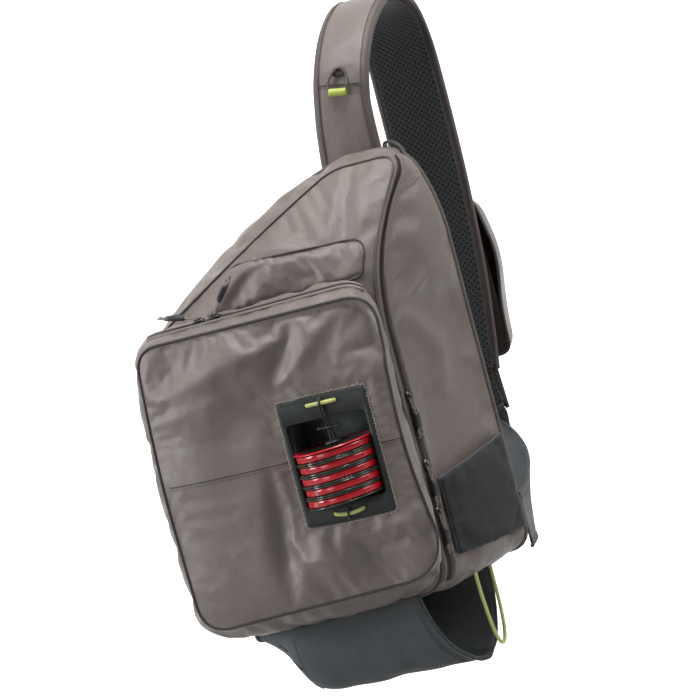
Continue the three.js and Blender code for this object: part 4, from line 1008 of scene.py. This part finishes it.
# Spool dock
FRAME_FRONT = DOCK_Y - GAP - FRAME_THICKNESS
SPOOL_X, SPOOL_Y = (TRAY_LEFT + TRAY_RIGHT) / 2, DOCK_Y + SPOOL_SET_BACK
SPOOL_FOOT = TRAY_BOTTOM + GAP


def rounded_loop(left, right, bottom, top, corner, bow=0.0):
    """Rectangle with round corners; bow bends its lower edge down and its upper edge a little up."""
    arcs = []
    for quarter, (x, z) in enumerate(((right, top), (left, top), (left, bottom), (right, bottom))):
        centre = Vector((x - corner if x == right else x + corner, z - corner if z == top else z + corner))
        angles = steps(quarter * math.pi / 2, (quarter + 1) * math.pi / 2, 5)
        arcs.append([centre + Vector((math.cos(a), math.sin(a))) * corner for a in angles])
    points = []
    for arc, after in zip(arcs, arcs[1:] + arcs[:1]):
        points += arc + [arc[-1].lerp(after[0], k / 8) for k in range(1, 8)]
    for p in points:
        bent = bow * (1 - ((p.x - left) / (right - left) * 2 - 1) ** 2)
        p.y -= bent if p.y < (bottom + top) / 2 else -0.3 * bent
    return points


def outset(loop, away, y):
    """A flat loop widened by away and set at the depth y."""
    points = []
    for k, p in enumerate(loop):
        along = (loop[(k + 1) % len(loop)] - loop[k - 1]).normalized()
        points.append(Vector((p.x + along.y * away, y, p.y - along.x * away)))
    return points


def make_frame():
    right, bottom = WINDOW_LEFT + WINDOW_WIDTH, WINDOW_TOP - WINDOW_HEIGHT
    outer = rounded_loop(WINDOW_LEFT, right, bottom, WINDOW_TOP, 3, 1.2)
    inner = rounded_loop(TRAY_LEFT, TRAY_RIGHT, TRAY_BOTTOM, TRAY_TOP, 4)
    edge = [(0, 1.4), (0, 0.5), (0.5, 0)]
    profile = [outset(outer, -inset, FRAME_FRONT + depth) for inset, depth in edge]
    profile += [outset(inner, inset, FRAME_FRONT + depth) for inset, depth in edge[::-1]]
    profile.append([Vector((p.x, DOCK_Y + 3, p.z)) for p in profile[-1]])
    piece("window_frame_soft", skinned(profile), hypalon, "window_frame")

    centre = Vector((WINDOW_X, FRAME_FRONT, WINDOW_Z))
    seated = [face_skin.seat(p - DEEP * 2, 0.5) for p in outset(outer, 0.9, FRAME_FRONT + 1.2)]
    stitched("frame_zigzag", [seated], ZIGZAG_STITCH, "hypalon", thread_pale, closed=True,
             slant=lambda spot: (spot - centre).normalized() * 1.1)
    groove = outset(outer, -2.2, FRAME_FRONT - 0.05)
    stitched("frame_stitch", [groove], FRAME_STITCH, "hypalon", tray_black, closed=True)


def tilted(shape):
    """Spools lean a little to the left on their cord."""
    return [v + UP * ((v.x - SPOOL_X) * SPOOL_LEAN + SPOOL_LIFT) for v in shape[0]], shape[1]


def make_spools():
    band_rows = [(31.0, 1.9), (33.4, 1.9), (34.0, 2.3), (34.2, 3.2)]
    band_rows += [(radius, SPOOL_HEIGHT - z) for radius, z in band_rows[::-1]]
    disc_rows = [
        (SPOOL_BORE, 0), (SPOOL_BORE, 1.1), (30.0, 1.1), (34.9, 1.25), (35.4, 1.0), (35.5, 0.55), (35.4, 0.1),
        (34.9, -0.1), (30.0, 0),
    ]
    hub = [(radius, z) for radius, low in ((SPOOL_BORE, True), (12.0, False))
           for z in ((1.3, SPOOL_HEIGHT - 1.3) if low else (SPOOL_HEIGHT - 1.3, 1.3))]
    for i in range(SPOOL_COUNT):
        bottom = SPOOL_FOOT + (SPOOL_COUNT - 1 - i) * SPOOL_PITCH
        centre = Vector((SPOOL_X + SPOOL_SHIFT + 0.6 * (i % 2), SPOOL_Y, bottom))
        piece(f"spool_band_{i + 1}", tilted(lathe(band_rows, centre)), red, f"spool_{i + 1}")
        discs = [lathe(disc_rows, centre + UP * low) for low in (0.15, SPOOL_HEIGHT - 1.25)]
        piece(f"spool_flanges_{i + 1}", tilted(merged(discs + [lathe(hub, centre, 32)])), smoke)
    rim = [(30.4, 0.12), (35.0, 0.12), (35.8, -0.5), (35.8, -0.9), (35.0, -1.3), (30.4, -0.9)]
    top = SPOOL_FOOT + (SPOOL_COUNT - 1) * SPOOL_PITCH + SPOOL_HEIGHT
    piece("spool_rim", tilted(lathe(rim, Vector((SPOOL_X + SPOOL_SHIFT, SPOOL_Y, top)))), red)
    # Small pale rings on the bands of the two lowest spools.
    for i, degrees in ((3, 244), (4, 236)):
        turn = math.radians(degrees)
        out = Vector((math.cos(turn), math.sin(turn), 0))
        height = SPOOL_FOOT + (SPOOL_COUNT - 1 - i) * SPOOL_PITCH + SPOOL_HEIGHT / 2
        middle = Vector((SPOOL_X, SPOOL_Y, height)) + out * 34.4
        ring = hoop(middle, Vector((-out.y, out.x, 0)) * 1.5, UP * 1.5, 16)
        piece(f"pale_ring_{i + 1}", tilted(tube(ring, 0.5, 6, True, out)), thread_pale)


def make_post():
    """Doubled cord down through the spools, with a small cross toggle and a hub."""
    parts = []
    for side in (-1.7, 1.7):
        route = [Vector((SPOOL_X + side * share, y, z)) for share, y, z in (
            (0.5, FRAME_FRONT - 1.6, WINDOW_TOP - 7), (0.7, FRAME_FRONT - 1.2, WINDOW_TOP - 15),
            (0.6, SPOOL_Y - 3, TRAY_TOP - 6), (0.8, SPOOL_Y - 0.6, TRAY_TOP - 16),
            (1, SPOOL_Y, TRAY_TOP - 26), (0.6, SPOOL_Y, TRAY_BOTTOM + 50),
            (0.6, SPOOL_Y, TRAY_BOTTOM + 44))]
        parts.append(tube(curved(route, 40), 1.25))
    piece("post_cord", merged(parts), black_cord, "tippet_post")
    rows = [(-11, 0.6), (-10.5, 1.5), (-9, 1.7), (-7, 1.2), (-3, 1.2), (-2.2, 1.8)]
    rows += [(-x, radius) for x, radius in rows[::-1]]
    points = [Vector((SPOOL_X + x, SPOOL_Y - 2.4, TRAY_TOP - 9 - 0.03 * x)) for x, _ in rows]
    toggle = tube(points, [radius for _, radius in rows], 12, level=UP)
    piece("post_toggle", toggle, plastic, fine=True)
    cap = [(3.0, 0), (7.5, 0), (8.2, 0.8), (7.6, 2.0), (4.6, 2.6), (3.2, 3.6), (2.2, 3.7)]
    top = Vector((SPOOL_X, SPOOL_Y, SPOOL_FOOT + SPOOL_COUNT * SPOOL_PITCH))
    piece("post_hub", tilted(lathe(cap, top)), plastic)


def make_tab(name, z, sag):
    """Lime cord held to the frame by two slits and a black loop."""
    half = 14.0
    line = []
    for t in steps(-1, 1, 24):
        lift = CORD_RADIUS * (1.0 - 2.6 * max(abs(t) - 0.86, 0) / 0.14)
        line.append(Vector((WINDOW_X + t * half, FRAME_FRONT - lift, z - sag * (1 - t * t))))
    piece(name + "_cord", tube(line, 1.75, 10, level=UP), lime, "tippet_" + name)
    loop = [Vector((WINDOW_X - 0.5 + 0.8 * math.cos(a), FRAME_FRONT - 3.2 * math.sin(a),
                    z - sag + 4.2 * math.cos(a))) for a in steps(0, math.pi, 14)]
    piece(name + "_loop", tube(loop, 1.3, level=ACROSS), black_cord)
    centres = [Vector((WINDOW_X + side * (half - 0.4), FRAME_FRONT - 0.05, z)) for side in (-1, 1)]
    slits = [tube(hoop(centre, ACROSS * 2.4, UP * 2.2, 16), 0.45, 6, True) for centre in centres]
    piece(name + "_slits", merged(slits), tray_black)


make_frame()
make_spools()
make_post()
make_tab("tab_top", WINDOW_TOP - FRAME_TOP / 3, 0.0)
make_tab("tab_bottom", WINDOW_TOP - WINDOW_HEIGHT + FRAME_BOTTOM / 2, 2.2)


# Fly patch on the lower right corner
PATCH_FROM, PATCH_TO, PATCH_LIFT = 13.05, 14.09, 2.4


def border(inset_a, inset_b, count):
    """Places round a unit square, inset from its sides."""
    a_steps, b_steps = steps(inset_a, 1 - inset_a, count), steps(inset_b, 1 - inset_b, count)
    places = [(a, b_steps[0]) for a in a_steps] + [(a_steps[-1], b) for b in b_steps[1:]]
    return places + [(a, b_steps[-1]) for a in a_steps[-2::-1]] + [(a_steps[0], b) for b in b_steps[-2:0:-1]]


def make_patch():
    def patch(u, t):
        return lifted(band_point, u, lerp(0.03, band_share(u, SEAM + ZIP_BAND + 4), t), PATCH_LIFT)
    us, vs = steps(PATCH_FROM, PATCH_TO, 26), steps(0, 1, 26)
    shape = buckled(grid(patch, us, vs), edge_pins(us, vs), slack=0.02, cap=2, push=0.4)
    piece("fly_patch_soft", shape, felt, "fly_patch", wall=CLOTH)
    level = surface_normal(band_point, 13.5, 0.5)[0]
    outer, inner = ([patch(lerp(PATCH_FROM, PATCH_TO, a), b) for a, b in border(*places)]
                    for places in ((0, 0, 26), (0.06, 0.05, 20)))
    piece("patch_binding", tube(outer, 1.25, 8, True, level), charcoal)
    stitched("patch_stitch", [[p + level * 0.35 for p in inner]], PATCH_STITCH, "charcoal", closed=True)


# Bottle sleeve under the body
SLEEVE_MIDDLE = -(SLEEVE_BACK + SLEEVE_WIDTH / 2)
BOTTOM_FROM = 2 * CORNER + ROUND


def body_bottom_z(x, y):
    share = -y / BODY_DEPTH
    right, left = band_point(BOTTOM_FROM, share), band_point(BOTTOM_FROM + STRAIGHT, share)
    t = min(max((right.x - x) / (right.x - left.x), 0), 1)
    return band_point(BOTTOM_FROM + STRAIGHT * t, share).z


def sleeve_point(share, v, out=0.0):
    shift = -MOUTH_CUT_BACK * (1 - 2 * v) if v < 0.5 else MOUTH_REACH * (2 * v - 1)
    x = lerp(SLEEVE_LEFT, SLEEVE_LEFT + SLEEVE_LENGTH, share) + shift * share ** 3
    drop = smooth(SLEEVE_ROWS, share)
    half = SLEEVE_WIDTH / 2 * lerp(0.55, 1, drop)
    bulge = max(math.sin(v * math.pi), 0)
    y = SLEEVE_MIDDLE - (half + (SLEEVE_BULGE + out) * bulge) * math.cos(v * math.pi)
    ease = smoothstep(v, 0, 0.1) * smoothstep(1 - v, 0, 0.1) * smoothstep(share, 0.1, 0.4)
    slack = rumple(Vector((x, y * 1.6, v * 60)), 42, 2.6) * ease
    return Vector((x, y, body_bottom_z(x, y) - GAP - (SLEEVE_DROP + out) * drop * bulge ** 0.8 + slack))


def make_sleeve():
    def hoops(share, out, count, v_from=0, v_to=1):
        return [sleeve_point(share, v, out) for v in steps(v_from, v_to, count)]
    shape = grid(sleeve_point, steps(0, 1, 60), steps(0, 1, 56))
    piece("bottle_sleeve_soft", shape, charcoal, "bottle_sleeve", fine=True, wall=-CLOTH)
    piece("sleeve_hem", tube(hoops(1.0, 0.6, 70), 2.0, level=ACROSS), band)
    rows = [hoops(share, 0.3, 60, 0.04, 0.96) for share in (0.93, 0.948, 0.2)]
    rows.append([sleeve_point(share, 0.5, 0.3) for share in steps(0.2, 0.93, 40)])
    stitched("sleeve_stitch", rows, SLEEVE_STITCH, "charcoal")
    piece("sleeve_end_roll", tube(hoops(0.0, 0.5, 30), 1.8, level=ACROSS), charcoal)
    tacks = [tube([sleeve_point(share + away, v, 0.3) for away in steps(-0.02, 0.02, 8)], 0.7)
             for share, v in ((0.12, 0.14), (0.17, 0.2), (0.2, 0.42))]
    piece("sleeve_tacks", merged(tacks), black_cord)


make_patch()
make_sleeve()


# Straps

class Station:
    """A place on a strap: across lies along its width, inward goes from its outer to its inner face."""

    def __init__(self, point, along, aim, width):
        self.point, self.along, self.width = point, along, width
        self.across = (aim - along * aim.dot(along)).normalized()
        self.inward = along.cross(self.across)

    def spot(self, side, depth=0.0):
        """side is a share of the half width and depth a distance inward."""
        return self.point + self.across * side * self.width / 2 + self.inward * depth

    def moved(self, shift, width):
        return Station(self.point + shift, self.along, self.across, width)


def on_route(route, t, width, aim=ACROSS):
    along = (catmull(route, t + 0.001) - catmull(route, t - 0.001)).normalized()
    return Station(catmull(route, t), along, aim, width)


def mixed(rows, column, t):
    spot = min(max(t, 0), 1) * (len(rows) - 1)
    i = min(int(spot), len(rows) - 2)
    return lerp(rows[i][column], rows[i + 1][column], spot - i)


def ribbon(stations, low, high, crown=0.0, power=0.45, around=24):
    """Rounded strip between two depths; crown swells both of its faces."""
    rings = []
    for station in stations:
        ring = []
        for right, depth in rounded(around, power):
            rise = crown * (1 - right * right) * (1 if depth > 0 else -1)
            ring.append(station.spot(right, (low + high) / 2 + depth * (high - low) / 2 + rise))
        rings.append(ring)
    return skinned(rings, capped=True)


def ribbon_map(stations, power=0.45, around=32):
    """Places on a ribbon in millimetres, along and across, for its knit."""
    uv, run, last = [], 0.0, stations[0].point
    for station in stations:
        run += (station.point - last).length
        last = station.point
        for right, depth in rounded(around, power):
            uv.append((run, right * station.width / 2 + (200 if depth < 0 else 0)))
    return uv


STRAP_ROUTE, WING_ROUTE = (
    [Vector((x * BODY_WIDTH, y * LOOP_DEPTH, z * LOOP_HEIGHT)) for x, y, z, *_ in rows]
    for rows in (STRAP_ROWS, WING_ROWS))
EDGE_WRAP = [
    (0.79, -6.1), (0.86, -6.0), (0.93, -5.7), (0.985, -5.1),
    (1.02, -3.8), (1.03, -1.8), (1.01, 0.3), (0.94, 0.9),
]


def strap_station(t, inset=0.0):
    return on_route(STRAP_ROUTE, t, mixed(STRAP_ROWS, 3, t) * STRAP_WIDTH - 2 * inset)


def strap_at(t, side, depth):
    return strap_station(t).spot(side, depth)


def make_strap():
    stations = [strap_station(t) for t in steps(0, 1, 150)]
    verts, faces = ribbon(stations, -STRAP_COVER + 0.5, 0, crown=0.8, around=32)
    verts = [v + (v - stations[i // 32].point).normalized() * rumple(v, 30, 0.5) for i, v in enumerate(verts)]
    cover = piece("strap_cover_soft", (verts, faces), nylon, node="strap_cover", fine=True)
    stations = [strap_station(t, STRAP_PAD_INSET) for t in steps(0, 1, 150)]
    shape = ribbon(stations, PAD_CLEARANCE, PAD_CLEARANCE + STRAP_PAD, crown=0.7, around=32)
    pad = piece("strap_pad_soft", shape, mesh_knit, "strap_pad", fine=True, uv=ribbon_map(stations))
    for letter, side in (("r", -1), ("l", 1)):
        edge = [strap_at(t, side * 0.985, -1.2) for t in steps(0, 1, 200)]
        piece("strap_binding_" + letter, tube(edge, 2.4, level=ACROSS), nylon_edge)
        wrap = grid(lambda t, row: strap_at(t, side * row[0], row[1]), steps(0, 1, 160), EDGE_WRAP)
        piece("strap_edge_" + letter, wrap, nylon_edge)
    lines = [[strap_at(t, side * share, depth) for t in steps(0.01, 0.99, 240)] for side in (-1, 1)
             for depth, share in ((-STRAP_COVER - 0.5, 0.82), (0.9, 0.91))]
    stitched("strap_stitch", lines, STRAP_STITCH)


# Shares of the pouch's outline, from its rim to its middle
POUCH_RINGS = (1, 0.993, 0.98, 0.96, 0.93, 0.89, 0.83, 0.75, 0.65, 0.53, 0.4, 0.26, 0.12, 0.02)


def make_pouch():
    rim_y = LOOP_DEPTH + STRAP_COVER + GAP + POUCH_LIFT
    share = pouch_outline.share()
    middle = pouch_outline.middle()

    def swell(rim, ring):
        x, z = middle.lerp(rim, ring)
        crown = max(1 - share(x, z) ** 6, 0) ** 0.42
        sag = 3.0 * math.exp(-((z - POUCH_BOTTOM - 40) / 30) ** 2)
        spot = Vector((x, rim_y + POUCH_DEPTH * crown * (0.96 + 0.04 * crown) + sag * crown * 0.3, z))
        aside = 9 * math.exp(-((z - 262) / 40) ** 2) * smoothstep(x, 222, 256)
        ease = smoothstep(1 - share(x, z), 0.05, 0.4)
        return spot + Vector((aside, rumple(spot, 26, 1.6) * ease, 0))
    loop = [pouch_outline.at(k / 3) for k in range(pouch_outline.count * 3)]
    verts, faces = grid(swell, loop, POUCH_RINGS, loop=True)
    edge = range(0, len(verts), len(POUCH_RINGS))
    faces.append(tuple(i + len(POUCH_RINGS) - 1 for i in edge))
    shape = relaxed((verts, faces), edge, 2, 0.5)
    piece("strap_pouch_soft", shape, nylon, node="strap_pouch", fine=True)
    piece("pouch_seam", tube([verts[i] + DEEP * 0.4 for i in edge], 1.6, closed=True), nylon_dark)
    piece("pouch_back", filled(pouch_outline, lambda x, z: rim_y, 8, 6)[0], nylon_dark)


def make_flap():
    """Tapered end piece of the strap, and the webbing tab between it and the wing."""
    end = strap_station(1.0)
    stations = [end.moved(end.along * (GAP + t * FLAP_LENGTH) + end.across * 9 * max(t, 0),
                          end.width * lerp(0.92, 0.84, t)) for t in steps(-0.15, 1, 14)]
    shape = ribbon(stations, FLAP_DEPTH, FLAP_DEPTH + FLAP_THICKNESS, power=0.3)
    piece("strap_end_flap_soft", shape, nylon, node="strap_end_flap", fine=True)
    lining = [s.moved(Vector(), s.width - 7) for s in stations[:-1]]
    shape = ribbon(lining, -1.2, 2.4, crown=0.5, around=32)
    piece("flap_lining", shape, mesh_knit, fine=True, uv=ribbon_map(lining))
    for letter, side in (("a", -1), ("b", 1)):
        edge = [s.spot(side, -2) for s in stations]
        piece("flap_binding_" + letter, tube(edge, 2.2, level=ACROSS), nylon_dark)
    lines = [[s.spot(side, -4.6) for s in stations] for side in (-0.82, 0.82)]
    lines += [[s.spot(side, -4.6) for side in steps(-0.8, 0.8, 10)] for s in (stations[1], stations[-2])]
    stitched("flap_stitch", lines, FLAP_STITCH)
    route = [stations[-5].point, stations[-1].point + Vector((0, 1, -3)), Vector((223, 185, 108)),
             Vector((228, 178, 92))]
    stations = [on_route(route, t, lerp(52, 34, smoothstep(t, 0.3, 1))) for t in steps(0, 1, 24)]
    piece("wing_tab", ribbon(stations, -1.2, 1.2, power=0.25), band, fine=True)


def make_wing():
    stations = []
    for t in steps(0, 1, 60):
        turn = math.radians(mixed(WING_ROWS, 4, t))
        aim = Vector((math.cos(turn), 0, math.sin(turn)))
        stations.append(on_route(WING_ROUTE, t, mixed(WING_ROWS, 3, t) * WING_WIDTH, aim))
    start, faces = ribbon(stations, -1.3, 1.3, power=0.25, around=32)
    verts = []
    for i, v in enumerate(start):
        s = stations[i // 32]
        fade = smoothstep(i // 32, 0, 10) * smoothstep(60 - i // 32, 0, 10)
        middle = s.point + s.across * (v - s.point).dot(s.across)
        verts.append(v + s.inward * rumple(middle, 34, 1.6) * fade)
    piece("wing_soft", (verts, faces), charcoal, "wing", fine=True)
    lines = []
    for letter, side in (("a", -1), ("b", 1)):
        edge = tube([s.spot(side) for s in stations], 1.9, level=Vector((0.3, 0.3, 0.9)))
        piece("wing_binding_" + letter, edge, band)
        lines += [[s.spot(side * (1 - 10 / s.width), face * 1.5) for s in stations] for face in (-1, 1)]
    stitched("wing_stitch", lines, FLAP_STITCH, "charcoal")


def make_adjuster():
    end = strap_station(1.0)
    start = end.point + end.along * (GAP + FLAP_LENGTH / 2) + end.inward * (FLAP_DEPTH - GAP)
    reach, sink = end.along * 26, end.inward * 4.5
    stations = []
    for angle in steps(0, math.pi, 30):
        point = start + reach * math.sin(angle) - end.inward - sink * (1 - math.cos(angle))
        along = (reach * math.cos(angle) - sink * math.sin(angle)).normalized()
        stations.append(Station(point, along, end.across, 25))
    shape = ribbon(stations, -0.9, 0.9, power=0.25)
    piece("adjuster_loop_soft", shape, band, "adjuster_loop", fine=True)


def make_haul_loop():
    a, b = band_point(0.9, 0.2), band_point(2.4, 0.2)
    stations = []
    for t in steps(-0.08, 1.08, 40):
        angle = min(max(t, 0), 1) * math.pi
        sunk = 60 * max(-t, t - 1, 0)
        point = a.lerp(b, (1 - math.cos(angle)) / 2) + UP * (2.0 + 7 * math.sin(angle) - sunk)
        along = (b - a) * math.sin(angle) / 2 + UP * 7 * math.cos(angle)
        stations.append(Station(point, along.normalized(), DEEP, 10))
    shape = ribbon(stations, -0.9, 0.9, power=0.25)
    piece("haul_loop_soft", shape, nylon_dark, "haul_loop", fine=True)


def make_gear_loop():
    """Cord ring with a moulded grip, held on the strap by a keeper."""
    gear = strap_station(GEAR_AT)
    lift = STRAP_COVER + GAP + GRIP_RADIUS

    def spot(right, up):
        return gear.point + gear.across * right + gear.along * up - gear.inward * lift
    ring = []
    for angle in turns(72):
        up = max(GEAR_REACH * math.sin(angle), -GEAR_REACH * GEAR_FLAT)
        wide = 9.4 * (1 - 0.22 * max(math.sin(angle), 0))
        ring.append(spot(wide * math.cos(angle) + 0.12 * up, up))
    piece("gear_loop_soft", tube(ring, 1.3, 10, True, gear.inward), brown_cord, "gear_loop")
    line = [strap_at(GEAR_AT - 0.004, side, -STRAP_COVER - 0.55) for side in steps(-0.78, 0.78, 24)]
    piece("gear_seam", tube(line, 0.5, 6, level=gear.inward), nylon_dark)
    rows = [(-0.5, 0.8), (-0.5, 0.96), (-0.46, 1.0), (-0.3, 0.97)]
    rows += [(-place, share) for place, share in rows[::-1]]
    points = [spot(place * GRIP_LENGTH, -GEAR_REACH * GEAR_FLAT) for place, _ in rows]
    grip = tube(points, [share * GRIP_RADIUS for _, share in rows], 28, level=gear.inward)
    piece("gear_grip_soft", grip, lime_grip, "gear_loop_grip")
    stations = []
    for t in steps(0, 1, 10):
        s = strap_station(GEAR_AT + 0.012 + 0.02 * t)
        stations.append(s.moved(s.inward * -(STRAP_COVER + 0.9 + 2.4 * math.sin(t * math.pi)), 11))
    piece("gear_keeper", ribbon(stations, -0.7, 0.7, power=0.3), nylon_dark, fine=True)


make_strap()
make_pouch()
make_flap()
make_wing()
make_adjuster()
make_haul_loop()
make_gear_loop()


# Zip sliders and pulls
PULL_STANDOFF, GRIP_END, RIB_PLACES = 4.35, 25.2, (12, 14, 16, 18, 20)


def make_slider(where, number, surface, u, v, lift, aim=None):
    """Slider on a zip, its grip along aim or along the zip, and the cord that joins them."""
    out, along, _ = surface_normal(surface, u, v)
    spot = surface(u, v) + out * lift
    aim = aim.normalized() if aim else along
    aim_out = (out - aim * out.dot(aim)).normalized()
    across = aim_out.cross(aim).normalized()
    start = spot + aim * PULL_STANDOFF + out * 2.0

    def beside(ahead, aside, away):
        return start + aim * ahead + across * aside + aim_out * away
    name = f"{where}_{number}"
    body = merged([bar(spot, along, out, SLIDER_SHAPE), bar(spot + out * 2.3, along, out, BRIDGE_SHAPE)])
    piece(name + "_slider", body, metal, f"{where}_slider_{number}")
    ribs = [tube([beside(down, side * 2.6, 4.85 - 0.7 * side * side) for side in steps(-1, 1, 6)], 0.4, 5)
            for down in RIB_PLACES]
    grip = merged([bar(start, aim, aim_out, GRIP_SHAPE)] + ribs)
    piece(name + "_grip", grip, plastic, f"{where}_pull_{number}")

    cords = []
    for side in (-1, 1):
        route = [beside(-4, side * 0.8, 0) + out * 0.8, beside(0, side * 1.3, 1.6),
                 beside(5, side * 1.2, 2.0), beside(9, 0, 2.2)]
        cords.append(tube(curved(route, 16), 0.85, 7))
    cords.append(tube([beside(-4, aside, 0) + out for aside in steps(-0.9, 0.9, 6)], 0.85, 7))
    knot = [beside(GRIP_END + 3.0 * math.sin(a) + 1.2, 2.4 * math.cos(a), 2.2 + 0.9 * math.sin(2 * a))
            for a in turns(20)]
    cords.append(tube(knot, 1.0, 7, True, aim_out))
    for side in (-1, 1):
        route = [beside(GRIP_END, 0, 2.2), beside(GRIP_END + 4, side * 1.2, 2.2),
                 beside(GRIP_END + 7.5, side * 2.6, 2.8)]
        cords.append(tube(curved(route, 10), 0.8, 7))
    piece(name + "_cord", merged(cords), pale_cord)


for number, at in enumerate((0.3, 0.6, 0.81), 1):
    u = CORNER + ROUND + at * STRAIGHT
    make_slider("side", number, band_point, u, band_share(u, SEAM + ZIP_BAND / 2), 1.2)
make_slider("pocket", 1, pocket_point, 4.97, ZIP_MIDDLE, 2.1, Vector((0.55, 0.35, 0.76)))
make_slider("pocket", 2, pocket_point, 4.7, ZIP_MIDDLE, 2.1, Vector((-0.97, 0.02, 0.2)))


# Seams of the body
surface_seam("yoke_seam", [(88, 262), (128, 318)], body_skin, body_front_y, side=2.4)


def make_side_seam():
    """Double row of stitches across the side panel, towards the patch."""
    lines = []
    for shift in (-0.036, 0.036):
        line = []
        for a in steps(0, 1, 40):
            u = lerp(13.2, 13.0, a) + shift
            line.append(lifted(band_point, u, band_share(u, SEAM + ZIP_BAND) * lerp(0.98, 0.12, a), 0.9))
        lines.append(line)
    stitched("side_seam_low", lines, SLEEVE_STITCH)


make_side_seam()

# The tray is whole in the solids and keeps its shape
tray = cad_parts["tippet_tray"]
tray.data.materials.clear()
tray.data.materials.append(tray_grey)


# Floor, light and view, in metres
BOWL_ROWS = [(0.0, 0.0), (3.0, 0.0), (5.0, 0.05), (6.6, 0.5), (7.6, 1.6), (8.0, 3.2), (8.0, 7.0)]
BOWL_SIDES = 72
LAMPS = [
    ("top", (0.2, -0.5, 2.35), 0.9, 80), ("right", (2.4, -0.4, 0.9), 1.2, 33),
    ("left", (-2.6, -1.35, 0.3), 0.9, 54), ("front", (-1.2, -2.6, -0.2), 0.9, 8),
]
WORLD_STRENGTH = 0.5


def make_studio():
    """Round floor with a raised rim that glows only behind the bag."""
    low = place((0, 0, -70)).z - 0.25
    fine = curved([Vector((radius, z, 0)) for radius, z in BOWL_ROWS], 36)[1:-1]
    verts, faces = lathe([(p.x, max(p.y, 0)) for p in fine], UP * low, BOWL_SIDES, looped=False)
    faces.append(tuple(range(BOWL_SIDES)))
    mesh = bpy.data.meshes.new("studio")
    mesh.from_pydata(verts, [], faces)
    mesh.shade_smooth()
    n = Nodes("backdrop")
    across, depth, _ = n.split("Object")
    beside = n.math("ADD", n.math("MULTIPLY", across, math.cos(AZIMUTH)),
                    n.math("MULTIPLY", depth, math.sin(AZIMUTH)))
    middle = n.ramp(n.math("ABSOLUTE", beside), 1.8, 3.2, 1.0, 0.0)
    behind = n.ramp(depth, -0.2, 1.5)
    tone = n.mix(behind, srgb((150, 150, 150)), srgb((240, 240, 240)))
    mesh.materials.append(n.finish(tone, 0.9, Emission_Color=(1, 1, 1, 1),
                                   Emission_Strength=n.math("MULTIPLY", behind, middle)))
    added("studio", mesh)


def lamp(name, spot, size, power):
    data = bpy.data.lights.new(name, "AREA")
    data.shape = "SQUARE"
    data.size = size
    data.energy = power
    thing = added(name, data)
    thing.location = spot
    thing.rotation_euler = (place(AIM) - Vector(spot)).to_track_quat("-Z", "Y").to_euler()


make_studio()
for settings in LAMPS:
    lamp(*settings)

scene.world = bpy.data.worlds.new("studio")
scene.world.use_nodes = True
background = scene.world.node_tree.nodes["Background"]
background.inputs[0].default_value = (1, 1, 1, 1)
background.inputs[1].default_value = WORLD_STRENGTH
scene.view_settings.view_transform = "Standard"
scene.view_settings.look = "None"
scene.view_settings.exposure = 0.0

bpy.context.view_layer.update()
